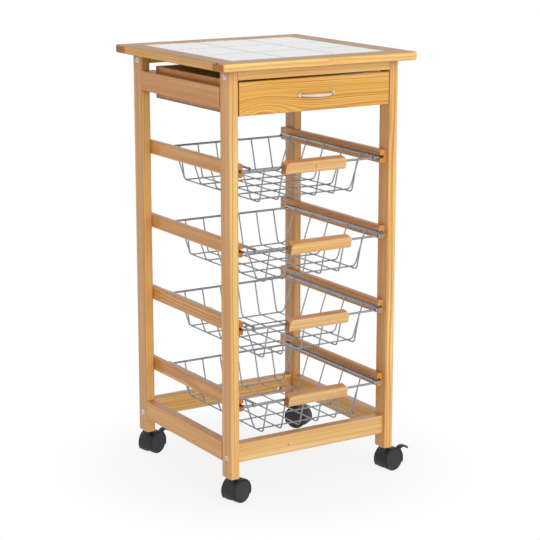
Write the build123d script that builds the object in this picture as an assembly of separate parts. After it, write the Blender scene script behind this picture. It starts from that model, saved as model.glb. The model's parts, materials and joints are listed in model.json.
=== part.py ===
from build123d import *
import math
import os

# Kitchen cart: a pine frame on four twin-wheel casters, with a tiled worktop,
# one drawer and four wire baskets that slide in grooved runners.
# Millimetres, +Z up. The origin is on the floor under the middle of the worktop,
# the front faces -Y and +X is to the right.

# Overall sizes
top_width = 370.0
top_depth = 370.0
total_height = 734.0
overhang = 22.0

# Worktop
top_thickness = 14.0
border_width = 35.0
tile_columns = 3
tile_rows = 3
tile_thickness = 5.6
tile_drop = 0.4
tile_edge = 0.9
tile_lip = 0.7
grout_width = 2.0
grout_drop = 0.6
board_thickness = 5.0
board_tongue = 5.0
top_edge_radius = 3.0
board_play = 0.1

# Frame timber
post_width = 17.0
post_depth = 30.0
post_foot_height = 45.0
post_edge_radius = 2.5
post_foot_chamfer = 0.8
rail_edge_radius = 1.5
top_rail_height = 16.0
top_rail_setback = 0.5
bottom_rail_height = 33.0
bottom_rail_thickness = 17.0
bottom_rail_lift = 26.0
drawer_rail_height = 34.0
drawer_rail_drop = 27.5

# Basket runners and their grooves
basket_count = 4
runner_thickness = 12.0
runner_height = 23.0
top_runner_drop = 161.3
lowest_runner_lift = 65.6
runner_front_gap = 8.0
runner_rear_gap = 4.5
runner_edge_radius = 2.5
groove_height = 5.0
groove_depth = 8.0
groove_drop = 0.8
groove_end_wall = 19.0

# Wire baskets
frame_wire = 4.0
basket_wire = 2.5
basket_depth_y = 288.0
basket_drop = 57.0
long_wires = 6
long_wire_pitch = 36.3
cross_wires = 5
cross_wire_pitch = 55.5
end_slope = 16.0
side_slope = 20.5
rim_inset = 17.5
wire_bend = 8.0
bend_foot = 9.0
weld_depth = 0.5
basket_pull_out = [3.0, 20.0, 15.0, 13.0]

# Wooden pulls on the basket fronts
pull_length = 117.0
pull_height = 22.5
pull_front = 12.5
pull_low = 11.0
pull_top_slope = 3.5
pull_corner = 4.0
pull_edge_radius = 1.3

# Drawer
drawer_gap_side = 1.5
drawer_gap_top = 3.0
drawer_height = 54.0
drawer_front_thickness = 15.0
drawer_side_thickness = 12.0
drawer_back_thickness = 11.0
drawer_length = 277.0
drawer_bottom_thickness = 3.0
drawer_edge_radius = 1.5
drawer_side_radius = 1.0
guide_height = 12.0
guide_depth = 6.2
guide_stop_gap = 0.2
guide_pin_spacing = 93.0
guide_edge_radius = 0.8
drawer_dowel_rise = 11.0
drawer_dowel_spacing = 12.0
drawer_pin_inset = 30.0
drawer_pin_shift = 3.0
drawer_back_pin_low = 9.0
drawer_back_pin_high = 4.0

# Drawer handle
handle_pitch = 64.0
handle_reach = 21.0
handle_bar = 4.0
handle_rise = 5.0
handle_foot = 8.0
handle_foot_length = 3.0
handle_sink = 2.0
handle_bar_radius = 1.6
handle_edge_radius = 1.2
handle_screw = 3.0
handle_screw_head = 7.0
handle_screw_head_height = 2.6

# Fasteners
bolt_shank = 6.0
bolt_head = 9.4
bolt_head_height = 5.5
bolt_head_proud = 0.5
bolt_length = 50.0
bolt_edge = 0.5
hex_socket = 5.0
hex_depth = 3.0
top_bolt_rise = 5.0
bottom_bolt_rise = 8.5
nut_diameter = 10.0
nut_length = 9.0
nut_inset = 26.0
dowel_diameter = 6.0
dowel_length = 24.0
dowel_in_post = 9.0
dowel_spacing = 17.0
dowel_edge = 0.6
top_dowel_offset = 9.0
pin_diameter = 2.4
pin_length = 22.0
pin_head = 4.2
pin_head_height = 1.0
pin_spacing = 15.5
pin_inset = 15.0
screw_diameter = 3.5
screw_head = 6.0
screw_head_height = 2.4
screw_bite = 8.0
screw_spacing = 160.0

# Casters
wheel_diameter = 39.0
wheel_width = 10.0
wheel_edge = 1.2
wheel_dish = 0.4
wheel_rim = 2.7
wheel_cap = 2.0
caster_width = 31.0
caster_trail = 13.0
axle_diameter = 5.0
stem_diameter = 7.0
stem_in_post = 24.0
stem_in_hood = 19.0
stem_edge = 0.6
collar_diameter = 13.0
collar_height = 1.6
hood_gap = 0.8
hood_wall = 1.7
hood_side_setback = 1.3
hood_lead_angle = 212.0
hood_trail_angle = -22.0
hood_web_gap = 0.5
hood_web_low = 10.7
hood_boss_wall = 3.5
lever_barrel = 5.0
lever_width = 9.0
lever_pin = 2.4
lever_angle = 28.0
lever_wall = 3.4
lever_hump = 6.2
lever_hump_place = 10.1
lever_reach = 22.5
lever_tip_drop = 1.8
lever_nose_back = 1.2
lever_nose_drop = 1.0
ear_wall = 2.0
caster_angles = {
    "front_left": 17.0,
    "front_right": 8.0,
    "rear_left": 21.0,
    "rear_right": -62.0,
}
braked_casters = ["front_right", "rear_left"]

# Clearances, and how far a cut runs past the face that it opens
overcut = 1.0
snug = 0.05
running = 0.05
slip = 0.1
seat_gap = 0.3

# Places that follow from the sizes above
post_out_x = top_width / 2 - overhang
post_out_y = top_depth / 2 - overhang
post_in_x = post_out_x - post_width
post_in_y = post_out_y - post_depth
post_mid_x = post_out_x - post_width / 2
post_mid_y = post_out_y - post_depth / 2
frame_top = total_height - top_thickness
top_rail_low = frame_top - top_rail_height
bottom_rail_low = post_foot_height + bottom_rail_lift
bottom_rail_out_y = post_mid_y + bottom_rail_thickness / 2
drawer_rail_top = frame_top - drawer_rail_drop
drawer_rail_low = drawer_rail_top - drawer_rail_height
top_bolt_z = top_rail_low + top_bolt_rise
bottom_bolt_z = bottom_rail_low + bottom_bolt_rise
field_x = top_width - 2 * border_width
field_y = top_depth - 2 * border_width
runner_in_x = post_in_x - runner_thickness
groove_floor_x = runner_in_x + groove_depth
runner_front_y = -post_out_y + runner_front_gap
runner_back_y = post_out_y - runner_rear_gap
runner_high = frame_top - top_runner_drop
runner_low = bottom_rail_low + bottom_rail_height + lowest_runner_lift
runner_pitch = (runner_high - runner_low) / (basket_count - 1)
runner_heights = [runner_high - i * runner_pitch for i in range(basket_count)]


def block(x0, x1, y0, y1, z0, z1):
    # A plain box from its six faces
    size = Box(x1 - x0, y1 - y0, z1 - z0)
    return Pos((x0 + x1) / 2, (y0 + y1) / 2, (z0 + z1) / 2) * size


def rod(start, end, diameter):
    # A round bar between two points
    a = Vector(*start)
    b = Vector(*end)
    plane = Plane(origin=a, z_dir=(b - a).normalized())
    return Solid.make_cylinder(diameter / 2, (b - a).length, plane)


def wire(points, bends, diameter):
    # A bent round wire along straight runs joined by arcs
    path = FilletPolyline(*points, radius=bends) if len(points) > 2 else Line(*points)
    section = Plane(origin=path @ 0, z_dir=path % 0) * Circle(diameter / 2)
    return sweep(section, path=path)


def rounded(piece, edges, radius):
    return fillet(edges, radius) if radius > 0 else piece


def eased_bar(x0, x1, y0, y1, z0, z1, axis, radius):
    # A planed bar with its four long edges eased
    bar = block(x0, x1, y0, y1, z0, z1)
    return rounded(bar, bar.edges().filter_by(axis), radius)


def mirrored_x(piece):
    return mirror(piece, about=Plane.YZ)


def mirrored_y(piece):
    return mirror(piece, about=Plane.XZ)


def four_corners(piece):
    # The piece from the right rear corner repeated at all four corners
    right = [piece, mirrored_y(piece)]
    return right + [mirrored_x(one) for one in right]


def boxes_meet(a, b):
    p = a.bounding_box()
    q = b.bounding_box()
    apart_x = p.min.X > q.max.X or q.min.X > p.max.X
    apart_y = p.min.Y > q.max.Y or q.min.Y > p.max.Y
    apart_z = p.min.Z > q.max.Z or q.min.Z > p.max.Z
    return not (apart_x or apart_y or apart_z)


def drilled(piece, holes):
    # The piece less every hole that reaches it
    near = [hole for hole in holes if boxes_meet(piece, hole)]
    return piece - near if near else piece


def save(name, *pieces):
    flat = []
    for piece in pieces:
        flat.extend(piece.solids())
    for number, solid in enumerate(flat):
        solid.label = name if len(flat) == 1 else f"{name}_{number + 1}"
    whole = flat[0] if len(flat) == 1 else Compound(children=flat)
    whole.label = name
    export_step(whole, f"parts/{name}.step")


def make_bolt(x, y, z):
    # Socket-head bolt from the right side face inwards, with its hole
    face = x + bolt_head_proud
    shoulder = face - bolt_head_height
    head = rod((shoulder, y, z), (face, y, z), bolt_head)
    head = chamfer(head.edges().group_by(Axis.X)[-1], bolt_edge)
    shank = rod((shoulder - bolt_length, y, z), (shoulder, y, z), bolt_shank)
    socket_plane = Plane(origin=(face, y, z), x_dir=(0, 1, 0), z_dir=(1, 0, 0))
    socket = extrude(socket_plane * RegularPolygon(hex_socket / 2, 6, major_radius=False), -hex_depth)
    bolt = head + shank - socket
    hole = rod((shoulder - bolt_length - seat_gap, y, z), (x, y, z), bolt_shank + 2 * snug)
    counterbore = rod((shoulder, y, z), (x + overcut, y, z), bolt_head + 2 * seat_gap)
    return bolt, hole + counterbore


def make_nut(x, y, z, axis, mouth):
    # Cross-dowel nut on the bolt's line, drilled in from the mouth of its hole
    along = Vector(*axis)
    middle = Vector(x, y, z)
    nut = rod(middle - along * (nut_length / 2), middle + along * (nut_length / 2), nut_diameter)
    nut = nut - rod((x - nut_diameter, y, z), (x + nut_diameter, y, z), bolt_shank + 2 * snug)
    end = middle - along * (nut_length / 2)
    hole = rod(end, end + along * mouth, nut_diameter + 2 * snug)
    return nut, hole


def make_dowel(start, direction, inside):
    # Dowel across a joint face, with its hole; inside is its depth behind the start point
    point = Vector(*start)
    way = Vector(*direction)
    low = point - way * inside
    high = low + way * dowel_length
    dowel = rod(low, high, dowel_diameter)
    dowel = chamfer(dowel.edges().filter_by(GeomType.CIRCLE), dowel_edge)
    hole = rod(low - way * seat_gap, high + way * seat_gap, dowel_diameter + 2 * snug)
    return dowel, hole


def make_pin(face, direction):
    # Driven pin with its head level with the face, and the hole that it makes
    point = Vector(*face)
    way = Vector(*direction)
    shoulder = point + way * pin_head_height
    end = point + way * pin_length
    pin = rod(point, shoulder, pin_head) + rod(shoulder, end, pin_diameter)
    hole = rod(point - way, shoulder, pin_head + 2 * snug) + rod(shoulder, end, pin_diameter + 2 * snug)
    return pin, hole


# Worktop
half_x = top_width / 2
half_y = top_depth / 2
tile_x = field_x / tile_columns - grout_width
tile_y = field_y / tile_rows - grout_width
tile_top = total_height - tile_drop
tile_low = tile_top - tile_thickness
board_low = tile_low - board_thickness
groove_reach = board_tongue + seat_gap
board_slot = block(
    -field_x / 2 - groove_reach, field_x / 2 + groove_reach,
    -field_y / 2 - groove_reach, field_y / 2 + groove_reach,
    board_low - board_play, tile_low,
)


def make_front_border():
    bar = block(-half_x, half_x, -half_y, -half_y + border_width, frame_top, total_height)
    outer = bar.edges().group_by(Axis.Y)[0]
    ends = bar.edges().filter_by(Axis.Y)
    bar = fillet(outer + ends, top_edge_radius)
    return bar - board_slot


def make_right_border():
    bar = block(half_x - border_width, half_x, -field_y / 2, field_y / 2, frame_top, total_height)
    outer = bar.edges().filter_by(Axis.Y).group_by(Axis.X)[-1]
    bar = fillet(outer, top_edge_radius)
    return bar - board_slot


def make_tile(column, row):
    x = -field_x / 2 + (column + 0.5) * field_x / tile_columns
    y = -field_y / 2 + (row + 0.5) * field_y / tile_rows
    tile = Pos(x, y, (tile_low + tile_top) / 2) * Box(tile_x, tile_y, tile_thickness)
    tile = fillet(tile.edges().filter_by(Axis.Z), tile_edge)
    return fillet(tile.edges().group_by(Axis.Z)[-1], tile_lip)


tile_places = [(column, row) for row in range(tile_rows) for column in range(tile_columns)]
tiles = [make_tile(column, row) for column, row in tile_places]
tile_board = block(
    -field_x / 2 - board_tongue, field_x / 2 + board_tongue,
    -field_y / 2 - board_tongue, field_y / 2 + board_tongue,
    board_low, tile_low,
)
grout_top = tile_top - grout_drop
grout = block(-field_x / 2, field_x / 2, -field_y / 2, field_y / 2, tile_low, grout_top)
grout = grout - [
    Pos(tile.center().X, tile.center().Y, (tile_low + grout_top) / 2) * Box(tile_x, tile_y, tile_thickness)
    for tile in tiles
]

# Fasteners of the frame and the holes that they need
bolts = []
nuts = []
dowels = []
holes = []


def keep(group, made):
    piece, hole = made
    group.append(piece)
    holes.append(hole)


for bolt_z, nut_axis, nut_mouth in [
    (top_bolt_z, (0, 0, -1), top_rail_height),
    (bottom_bolt_z, (0, -1, 0), bottom_rail_thickness),
]:
    bolt, bolt_hole = make_bolt(post_out_x, post_mid_y, bolt_z)
    nut, nut_hole = make_nut(post_in_x - nut_inset, post_mid_y, bolt_z, nut_axis, nut_mouth)
    bolts += four_corners(bolt)
    nuts += four_corners(nut)
    holes += four_corners(bolt_hole) + four_corners(nut_hole)

rail_mid_x = post_mid_x
dowel_places = [
    ((post_in_x, post_mid_y - top_dowel_offset, frame_top - top_rail_height / 2), (-1, 0, 0)),
    ((post_in_x, post_mid_y, bottom_bolt_z + dowel_spacing), (-1, 0, 0)),
]
for rail_low, rail_height in [(bottom_rail_low, bottom_rail_height), (drawer_rail_low, drawer_rail_height)]:
    middle = rail_low + rail_height / 2
    dowel_places.append(((rail_mid_x, post_in_y, middle - dowel_spacing / 2), (0, -1, 0)))
    dowel_places.append(((rail_mid_x, post_in_y, middle + dowel_spacing / 2), (0, -1, 0)))
border_mid = (half_x - border_width / 2, field_y / 2, total_height - top_thickness / 2)
dowel_places.append((border_mid, (0, -1, 0)))
for place, direction in dowel_places:
    dowel, dowel_hole = make_dowel(place, direction, dowel_in_post)
    dowels += four_corners(dowel)
    holes += four_corners(dowel_hole)

pins = []
for runner_z in runner_heights:
    for side in (1, -1):
        for pin_y in (runner_front_y + pin_inset, runner_back_y - pin_inset):
            for rise in (pin_spacing / 2, -pin_spacing / 2):
                pin, pin_hole = make_pin((side * runner_in_x, pin_y, runner_z + rise), (side, 0, 0))
                pins.append(pin)
                holes.append(pin_hole)

guide_low = drawer_rail_top - guide_height
guide_in_x = post_in_x - drawer_gap_side - guide_depth
guide_front_y = -post_out_y + drawer_front_thickness + guide_stop_gap
for side in (1, -1):
    for step in (-1, 0, 1):
        pin_face = (side * guide_in_x, step * guide_pin_spacing, guide_low + guide_height / 2)
        pin, pin_hole = make_pin(pin_face, (side, 0, 0))
        pins.append(pin)
        holes.append(pin_hole)


def make_top_screw(play):
    # Countersunk screw up through the top rail into the border, or its hole with play
    x = screw_spacing / 2
    y = (field_y / 2 + groove_reach + post_out_y - top_rail_setback) / 2
    shank = rod((x, y, top_rail_low), (x, y, frame_top + screw_bite), screw_diameter + 2 * play)
    cone = Solid.make_cone(screw_head / 2 + play, screw_diameter / 2 + play, screw_head_height)
    return shank + Pos(x, y, top_rail_low) * cone


top_screws = four_corners(make_top_screw(0))
holes += four_corners(make_top_screw(snug))

# Caster stems, pressed into the feet of the posts
stem_top = post_foot_height + stem_in_post
hood_top = post_foot_height - collar_height - slip
stem_low = hood_top - stem_in_hood


def make_stem():
    stem = rod((post_mid_x, post_mid_y, stem_low), (post_mid_x, post_mid_y, stem_top), stem_diameter)
    stem = chamfer(stem.edges().filter_by(GeomType.CIRCLE), stem_edge)
    collar_low = post_foot_height - collar_height
    collar_top = (post_mid_x, post_mid_y, post_foot_height)
    collar = rod((post_mid_x, post_mid_y, collar_low), collar_top, collar_diameter)
    return stem + collar


stems = four_corners(make_stem())
stem_hole = rod(
    (post_mid_x, post_mid_y, post_foot_height - overcut),
    (post_mid_x, post_mid_y, stem_top + seat_gap),
    stem_diameter + 2 * snug,
)
holes += four_corners(stem_hole)

# Frame timber
post = eased_bar(
    post_in_x, post_out_x, post_in_y, post_out_y, post_foot_height, frame_top, Axis.Z, post_edge_radius
)
post = chamfer(post.edges().group_by(Axis.Z)[0], post_foot_chamfer)
posts = {
    "right_rear_post": drilled(post, holes),
    "right_front_post": drilled(mirrored_y(post), holes),
    "left_rear_post": drilled(mirrored_x(post), holes),
    "left_front_post": drilled(mirrored_x(mirrored_y(post)), holes),
}


def side_rail(low, high):
    rail = eased_bar(post_in_x, post_out_x, -post_in_y, post_in_y, low, high, Axis.Y, rail_edge_radius)
    return drilled(rail, holes)


def front_rail(low, high, out_y, thickness):
    rail = eased_bar(-post_in_x, post_in_x, -out_y, -out_y + thickness, low, high, Axis.X, rail_edge_radius)
    return drilled(rail, holes)


drawer_rail = side_rail(drawer_rail_low, drawer_rail_top)
bottom_side_rail = side_rail(bottom_rail_low, bottom_rail_low + bottom_rail_height)
top_rail_out_y = post_out_y - top_rail_setback
top_front_rail = front_rail(top_rail_low, frame_top, top_rail_out_y, post_depth - top_rail_setback)
bottom_front_rail = front_rail(
    bottom_rail_low, bottom_rail_low + bottom_rail_height, bottom_rail_out_y, bottom_rail_thickness
)

guide = eased_bar(
    guide_in_x, post_in_x, guide_front_y, post_in_y, guide_low, drawer_rail_top, Axis.Y, guide_edge_radius
)
guide = drilled(guide, holes)


def make_runner(z):
    runner = eased_bar(
        runner_in_x, post_in_x, runner_front_y, runner_back_y,
        z - runner_height / 2, z + runner_height / 2, Axis.Y, runner_edge_radius,
    )
    groove_z = z - groove_drop
    bottom_radius = groove_height / 2
    mouth = runner_in_x - overcut
    slot_front_y = runner_front_y - overcut
    groove_back = runner_back_y - groove_end_wall
    slot = block(
        mouth, groove_floor_x - bottom_radius, slot_front_y, groove_back,
        groove_z - bottom_radius, groove_z + bottom_radius,
    )
    round_x = groove_floor_x - bottom_radius
    slot = slot + rod((round_x, slot_front_y, groove_z), (round_x, groove_back, groove_z), groove_height)
    return drilled(runner - slot, holes)


runners = [make_runner(z) for z in runner_heights]

# Drawer
drawer_out_x = post_in_x - drawer_gap_side
drawer_in_x = drawer_out_x - drawer_side_thickness
drawer_top = top_rail_low - drawer_gap_top
drawer_low = drawer_top - drawer_height
drawer_face_y = -post_out_y
drawer_box_y = drawer_face_y + drawer_front_thickness
drawer_back_y = drawer_face_y + drawer_length
drawer_side_end_y = drawer_back_y - drawer_back_thickness
drawer_side_low = drawer_low + drawer_bottom_thickness
handle_z = (drawer_low + drawer_top) / 2
handle_screw_x = handle_pitch / 2

front = block(-drawer_out_x, drawer_out_x, drawer_face_y, drawer_box_y, drawer_low, drawer_top)
front = fillet(front.edges().group_by(Axis.Y)[0], drawer_edge_radius)
side = block(drawer_in_x, drawer_out_x, drawer_box_y, drawer_side_end_y, drawer_side_low, drawer_top)
side = fillet(side.edges().filter_by(Axis.Y).group_by(Axis.Z)[-1], drawer_side_radius)
guide_slot = block(
    guide_in_x - seat_gap, drawer_out_x + overcut, drawer_box_y - overcut, drawer_back_y + overcut,
    guide_low - seat_gap, drawer_rail_top + slip,
)
side = side - guide_slot
back = block(-drawer_out_x, drawer_out_x, drawer_side_end_y, drawer_back_y, drawer_side_low, drawer_top)
back = back - guide_slot - mirrored_x(guide_slot)
bottom = block(-drawer_out_x, drawer_out_x, drawer_box_y, drawer_back_y, drawer_low, drawer_side_low)

drawer_holes = []
drawer_dowels = []
drawer_pins = []
side_mid_x = (drawer_in_x + drawer_out_x) / 2
for step in (0, 1):
    place = (side_mid_x, drawer_box_y, drawer_low + drawer_dowel_rise + step * drawer_dowel_spacing)
    dowel, dowel_hole = make_dowel(place, (0, 1, 0), dowel_in_post)
    drawer_dowels += [dowel, mirrored_x(dowel)]
    drawer_holes += [dowel_hole, mirrored_x(dowel_hole)]
side_mid_y = (drawer_box_y + drawer_side_end_y) / 2
side_pin_reach = (drawer_side_end_y - drawer_box_y) / 2 - drawer_pin_inset
for step in (-1, 0, 1):
    pin_place = (side_mid_x - drawer_pin_shift, side_mid_y + step * side_pin_reach, drawer_low)
    pin, pin_hole = make_pin(pin_place, (0, 0, 1))
    drawer_pins += [pin, mirrored_x(pin)]
    drawer_holes += [pin_hole, mirrored_x(pin_hole)]
for pin_z in (drawer_low + drawer_back_pin_low, drawer_top - drawer_back_pin_high):
    pin, pin_hole = make_pin((side_mid_x, drawer_back_y, pin_z), (0, -1, 0))
    drawer_pins += [pin, mirrored_x(pin)]
    drawer_holes += [pin_hole, mirrored_x(pin_hole)]

# Arched bow handle on the drawer front, with its two screws from behind
arch_radius = (handle_screw_x**2 + handle_reach**2) / (2 * handle_reach)
arch_centre_y = drawer_face_y - handle_reach + arch_radius
arch_end_y = drawer_face_y + handle_sink
arch_end_x = math.sqrt(arch_radius**2 - (arch_end_y - arch_centre_y) ** 2)
handle_path = ThreePointArc(
    (-arch_end_x, arch_end_y, handle_z),
    (0, drawer_face_y - handle_reach, handle_z),
    (arch_end_x, arch_end_y, handle_z),
)
handle_section = Plane(origin=handle_path @ 0, x_dir=(0, 0, 1), z_dir=handle_path % 0)
handle_profile = RectangleRounded(handle_rise, handle_bar, handle_bar_radius)
handle = sweep(handle_section * handle_profile, path=handle_path)
for side_sign in (1, -1):
    foot_x = side_sign * handle_screw_x
    foot_end_y = drawer_face_y - handle_foot_length
    foot = rod((foot_x, foot_end_y, handle_z), (foot_x, drawer_face_y, handle_z), handle_foot)
    foot = fillet(foot.edges().group_by(Axis.Y)[0], handle_edge_radius)
    handle = handle + foot
handle = handle - block(-drawer_out_x, drawer_out_x, drawer_face_y, drawer_box_y, drawer_low, drawer_top)
handle_screws = []
for side_sign in (1, -1):
    foot_x = side_sign * handle_screw_x
    tip = (foot_x, drawer_face_y - handle_foot_length + handle_edge_radius, handle_z)
    neck = (foot_x, drawer_box_y, handle_z)
    crown = (foot_x, drawer_box_y + handle_screw_head_height, handle_z)
    head = rod(neck, crown, handle_screw_head)
    head = fillet(head.edges().group_by(Axis.Y)[-1], handle_edge_radius)
    handle_screws.append(rod(tip, neck, handle_screw) + head)
    drawer_holes.append(rod(tip, neck, handle_screw + 2 * snug))
handle = drilled(handle, drawer_holes)

# Wire basket, made once with the middle of its front wire at the origin
frame_half_x = groove_floor_x - groove_height / 2 - (groove_height - frame_wire) / 2
frame_back_y = basket_depth_y
leg_offset = frame_wire / 2 + basket_wire / 2 - weld_depth
rim_x = frame_half_x - rim_inset
rim_z = frame_wire - weld_depth
floor_z = -basket_drop
cross_floor_z = floor_z + basket_wire - weld_depth
rim_leg_x = rim_x - leg_offset
cross_half_x = rim_leg_x - side_slope
leg_top = basket_wire / 2
long_xs = [(i - (long_wires - 1) / 2) * long_wire_pitch for i in range(long_wires)]
cross_ys = [basket_depth_y / 2 + (i - (cross_wires - 1) / 2) * cross_wire_pitch for i in range(cross_wires)]
end_foot_y = leg_offset + end_slope + bend_foot
cross_foot_x = cross_half_x - bend_foot


def end_leg(x):
    # One front leg of a lengthwise wire, with its bend at the foot
    points = [
        (x, leg_offset, leg_top),
        (x, leg_offset + end_slope, floor_z),
        (x, end_foot_y, floor_z),
    ]
    return wire(points, wire_bend, basket_wire)


def side_leg(y):
    # One right leg of a crosswise wire, with its bend at the foot
    points = [
        (rim_leg_x, y, rim_z + leg_top),
        (cross_half_x, y, cross_floor_z),
        (cross_foot_x, y, cross_floor_z),
    ]
    return wire(points, wire_bend, basket_wire)


def make_end_wall():
    reach = frame_half_x - wire_bend
    wall = rod((-reach, 0, 0), (reach, 0, 0), frame_wire)
    return wall + [end_leg(x) for x in long_xs]


def make_side_wall():
    hook = frame_wire - weld_depth
    points = [
        (rim_x, -hook, -frame_wire / 2),
        (rim_x, -hook, rim_z),
        (rim_x, frame_back_y + hook, rim_z),
        (rim_x, frame_back_y + hook, -frame_wire / 2),
    ]
    wall = wire(points, hook, frame_wire)
    return wall + [side_leg(y) for y in cross_ys]


def make_slide_wire():
    reach = frame_half_x - wire_bend
    points = [
        (reach, 0, 0),
        (frame_half_x, 0, 0),
        (frame_half_x, frame_back_y, 0),
        (reach, frame_back_y, 0),
    ]
    return wire(points, wire_bend - 0.01, frame_wire)


def make_floor():
    rods = []
    for x in long_xs:
        rods.append(rod((x, end_foot_y, floor_z), (x, frame_back_y - end_foot_y, floor_z), basket_wire))
    for y in cross_ys:
        rods.append(rod((-cross_foot_x, y, cross_floor_z), (cross_foot_x, y, cross_floor_z), basket_wire))
    return rods[0] + rods[1:]


def make_basket():
    front_wall = make_end_wall()
    middle = Plane(origin=(0, basket_depth_y / 2, 0), z_dir=(0, 1, 0))
    side_wall = make_side_wall()
    slide_wire = make_slide_wire()
    return [
        front_wall,
        mirror(front_wall, about=middle),
        side_wall,
        mirrored_x(side_wall),
        slide_wire,
        mirrored_x(slide_wire),
        make_floor(),
    ]


def make_pull():
    # Wooden pull clipped over the front wire, leaning back like the basket's front
    lean = end_slope / (basket_drop + leg_top)
    leg_face = leg_offset + lean * leg_top - basket_wire / 2 * math.hypot(1, lean)
    back = leg_face - slip
    high = pull_height - pull_low
    front_high = high - pull_top_slope
    outline = Polyline(
        (back + lean * pull_low, -pull_low),
        (back - lean * high, high),
        (-pull_front - lean * front_high, front_high),
        (-pull_front + lean * pull_low, -pull_low),
        close=True,
    )
    side_plane = Plane(origin=(-pull_length / 2, 0, 0), x_dir=(0, 1, 0), z_dir=(1, 0, 0))
    body = extrude(side_plane * make_face(outline), pull_length)
    top_ends = body.edges().filter_by(Axis.X, reverse=True).group_by(Axis.Z)[-1]
    body = chamfer(top_ends, pull_corner, pull_corner)
    body = fillet(body.edges().filter_by(Axis.X), pull_edge_radius)
    clip = rod((-pull_length, 0, 0), (pull_length, 0, 0), frame_wire + 2 * snug)
    mouth = block(-pull_length, pull_length, 0, pull_height, -frame_wire / 2 - snug, frame_wire / 2 + snug)
    return body - (clip + mouth)


basket = make_basket()
pull = make_pull()
wire_rest = groove_height / 2 - frame_wire / 2 - running
closed_front_y = runner_back_y - groove_end_wall - seat_gap - frame_wire / 2 - basket_depth_y

# Casters, made with the stem's axis as the local Z axis and the trail along +X
wheel_radius = wheel_diameter / 2
axle_z = wheel_radius
gap_half = caster_width / 2 - wheel_width
web_half = gap_half - hood_web_gap
hood_in_radius = wheel_radius + hood_gap
hood_out_radius = hood_in_radius + hood_wall
hood_half = caster_width / 2 - hood_side_setback
hinge_radius = hood_out_radius + lever_barrel / 2 + slip
hinge_x = caster_trail + hinge_radius * math.cos(math.radians(lever_angle))
hinge_z = axle_z + hinge_radius * math.sin(math.radians(lever_angle))
upright = Plane(origin=(0, 0, 0), x_dir=(1, 0, 0), z_dir=(0, -1, 0))


def slab(sketch, half):
    # A side profile, x and z, made solid on both sides of the caster's middle plane
    return extrude(upright * sketch, half, both=True)


def make_wheel():
    # The wheel on the -Y side of the caster
    def disc(near_y, far_y, diameter):
        return rod((caster_trail, near_y, axle_z), (caster_trail, far_y, axle_z), diameter)
    out_y = -caster_width / 2
    face_y = out_y + wheel_dish
    wheel = disc(-gap_half, out_y, wheel_diameter)
    wheel = fillet(wheel.edges().filter_by(GeomType.CIRCLE), wheel_edge)
    dish = disc(out_y - overcut, face_y, wheel_diameter - 2 * wheel_rim)
    bore = disc(-caster_width, 0, axle_diameter + 2 * snug)
    closed = disc(face_y, out_y + wheel_cap, axle_diameter + 4 * snug)
    return wheel - dish - bore + closed


def make_axle():
    reach = caster_width / 2 - wheel_cap - seat_gap
    return rod((caster_trail, -reach, axle_z), (caster_trail, reach, axle_z), axle_diameter)


def arc_band(inner, outer, start, end):
    # The part of a ring about the axle between two angles
    def at(radius, degrees):
        turn = math.radians(degrees)
        return (caster_trail + radius * math.cos(turn), axle_z + radius * math.sin(turn))
    middle = (start + end) / 2
    edge = ThreePointArc(at(outer, start), at(outer, middle), at(outer, end))
    edge += Line(at(outer, end), at(inner, end))
    edge += ThreePointArc(at(inner, end), at(inner, middle), at(inner, start))
    edge += Line(at(inner, start), at(outer, start))
    return make_face(edge)


def make_hood(braked):
    shell = slab(arc_band(hood_in_radius, hood_out_radius, hood_trail_angle, hood_lead_angle), hood_half)
    web_disc = Pos(caster_trail, axle_z) * Circle(hood_in_radius + hood_wall / 2)
    below = Rectangle(4 * wheel_diameter, 2 * wheel_diameter)
    below = Pos(caster_trail, hood_web_low - wheel_diameter) * below
    web = slab(web_disc - below, web_half)
    boss = rod((0, 0, axle_z), (0, 0, hood_top), stem_diameter + 2 * hood_boss_wall)
    wheel_room = slab(Pos(caster_trail, axle_z) * Circle(hood_in_radius), caster_width)
    web_room = slab(Rectangle(4 * wheel_diameter, 4 * wheel_diameter), web_half)
    hood = shell + web + (boss - (wheel_room - web_room))
    if braked:
        hood = hood + make_ears()
    stem_bore = rod((0, 0, stem_low - seat_gap), (0, 0, hood_top + overcut), stem_diameter + 2 * running)
    axle_ends = [(caster_trail, side * caster_width, axle_z) for side in (-1, 1)]
    axle_bore = rod(*axle_ends, axle_diameter + 2 * running)
    return hood - stem_bore - axle_bore


def make_ears():
    # Two lugs on the hood with the brake lever's pin between them
    ear_half = lever_width / 2 + seat_gap
    ear_out = ear_half + ear_wall
    lug = Pos(hinge_x, hinge_z) * Circle(lever_barrel / 2)
    turn = math.radians(lever_angle)
    root = hood_in_radius + hood_wall / 2
    foot = Pos(caster_trail + root * math.cos(turn), axle_z + root * math.sin(turn)) * Circle(hood_wall / 2)
    outline = make_hull((lug + foot).edges())
    ears = slab(outline, ear_out) - slab(outline, ear_half)
    pin = rod((hinge_x, -ear_out, hinge_z), (hinge_x, ear_out, hinge_z), lever_pin)
    return ears + pin


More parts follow.
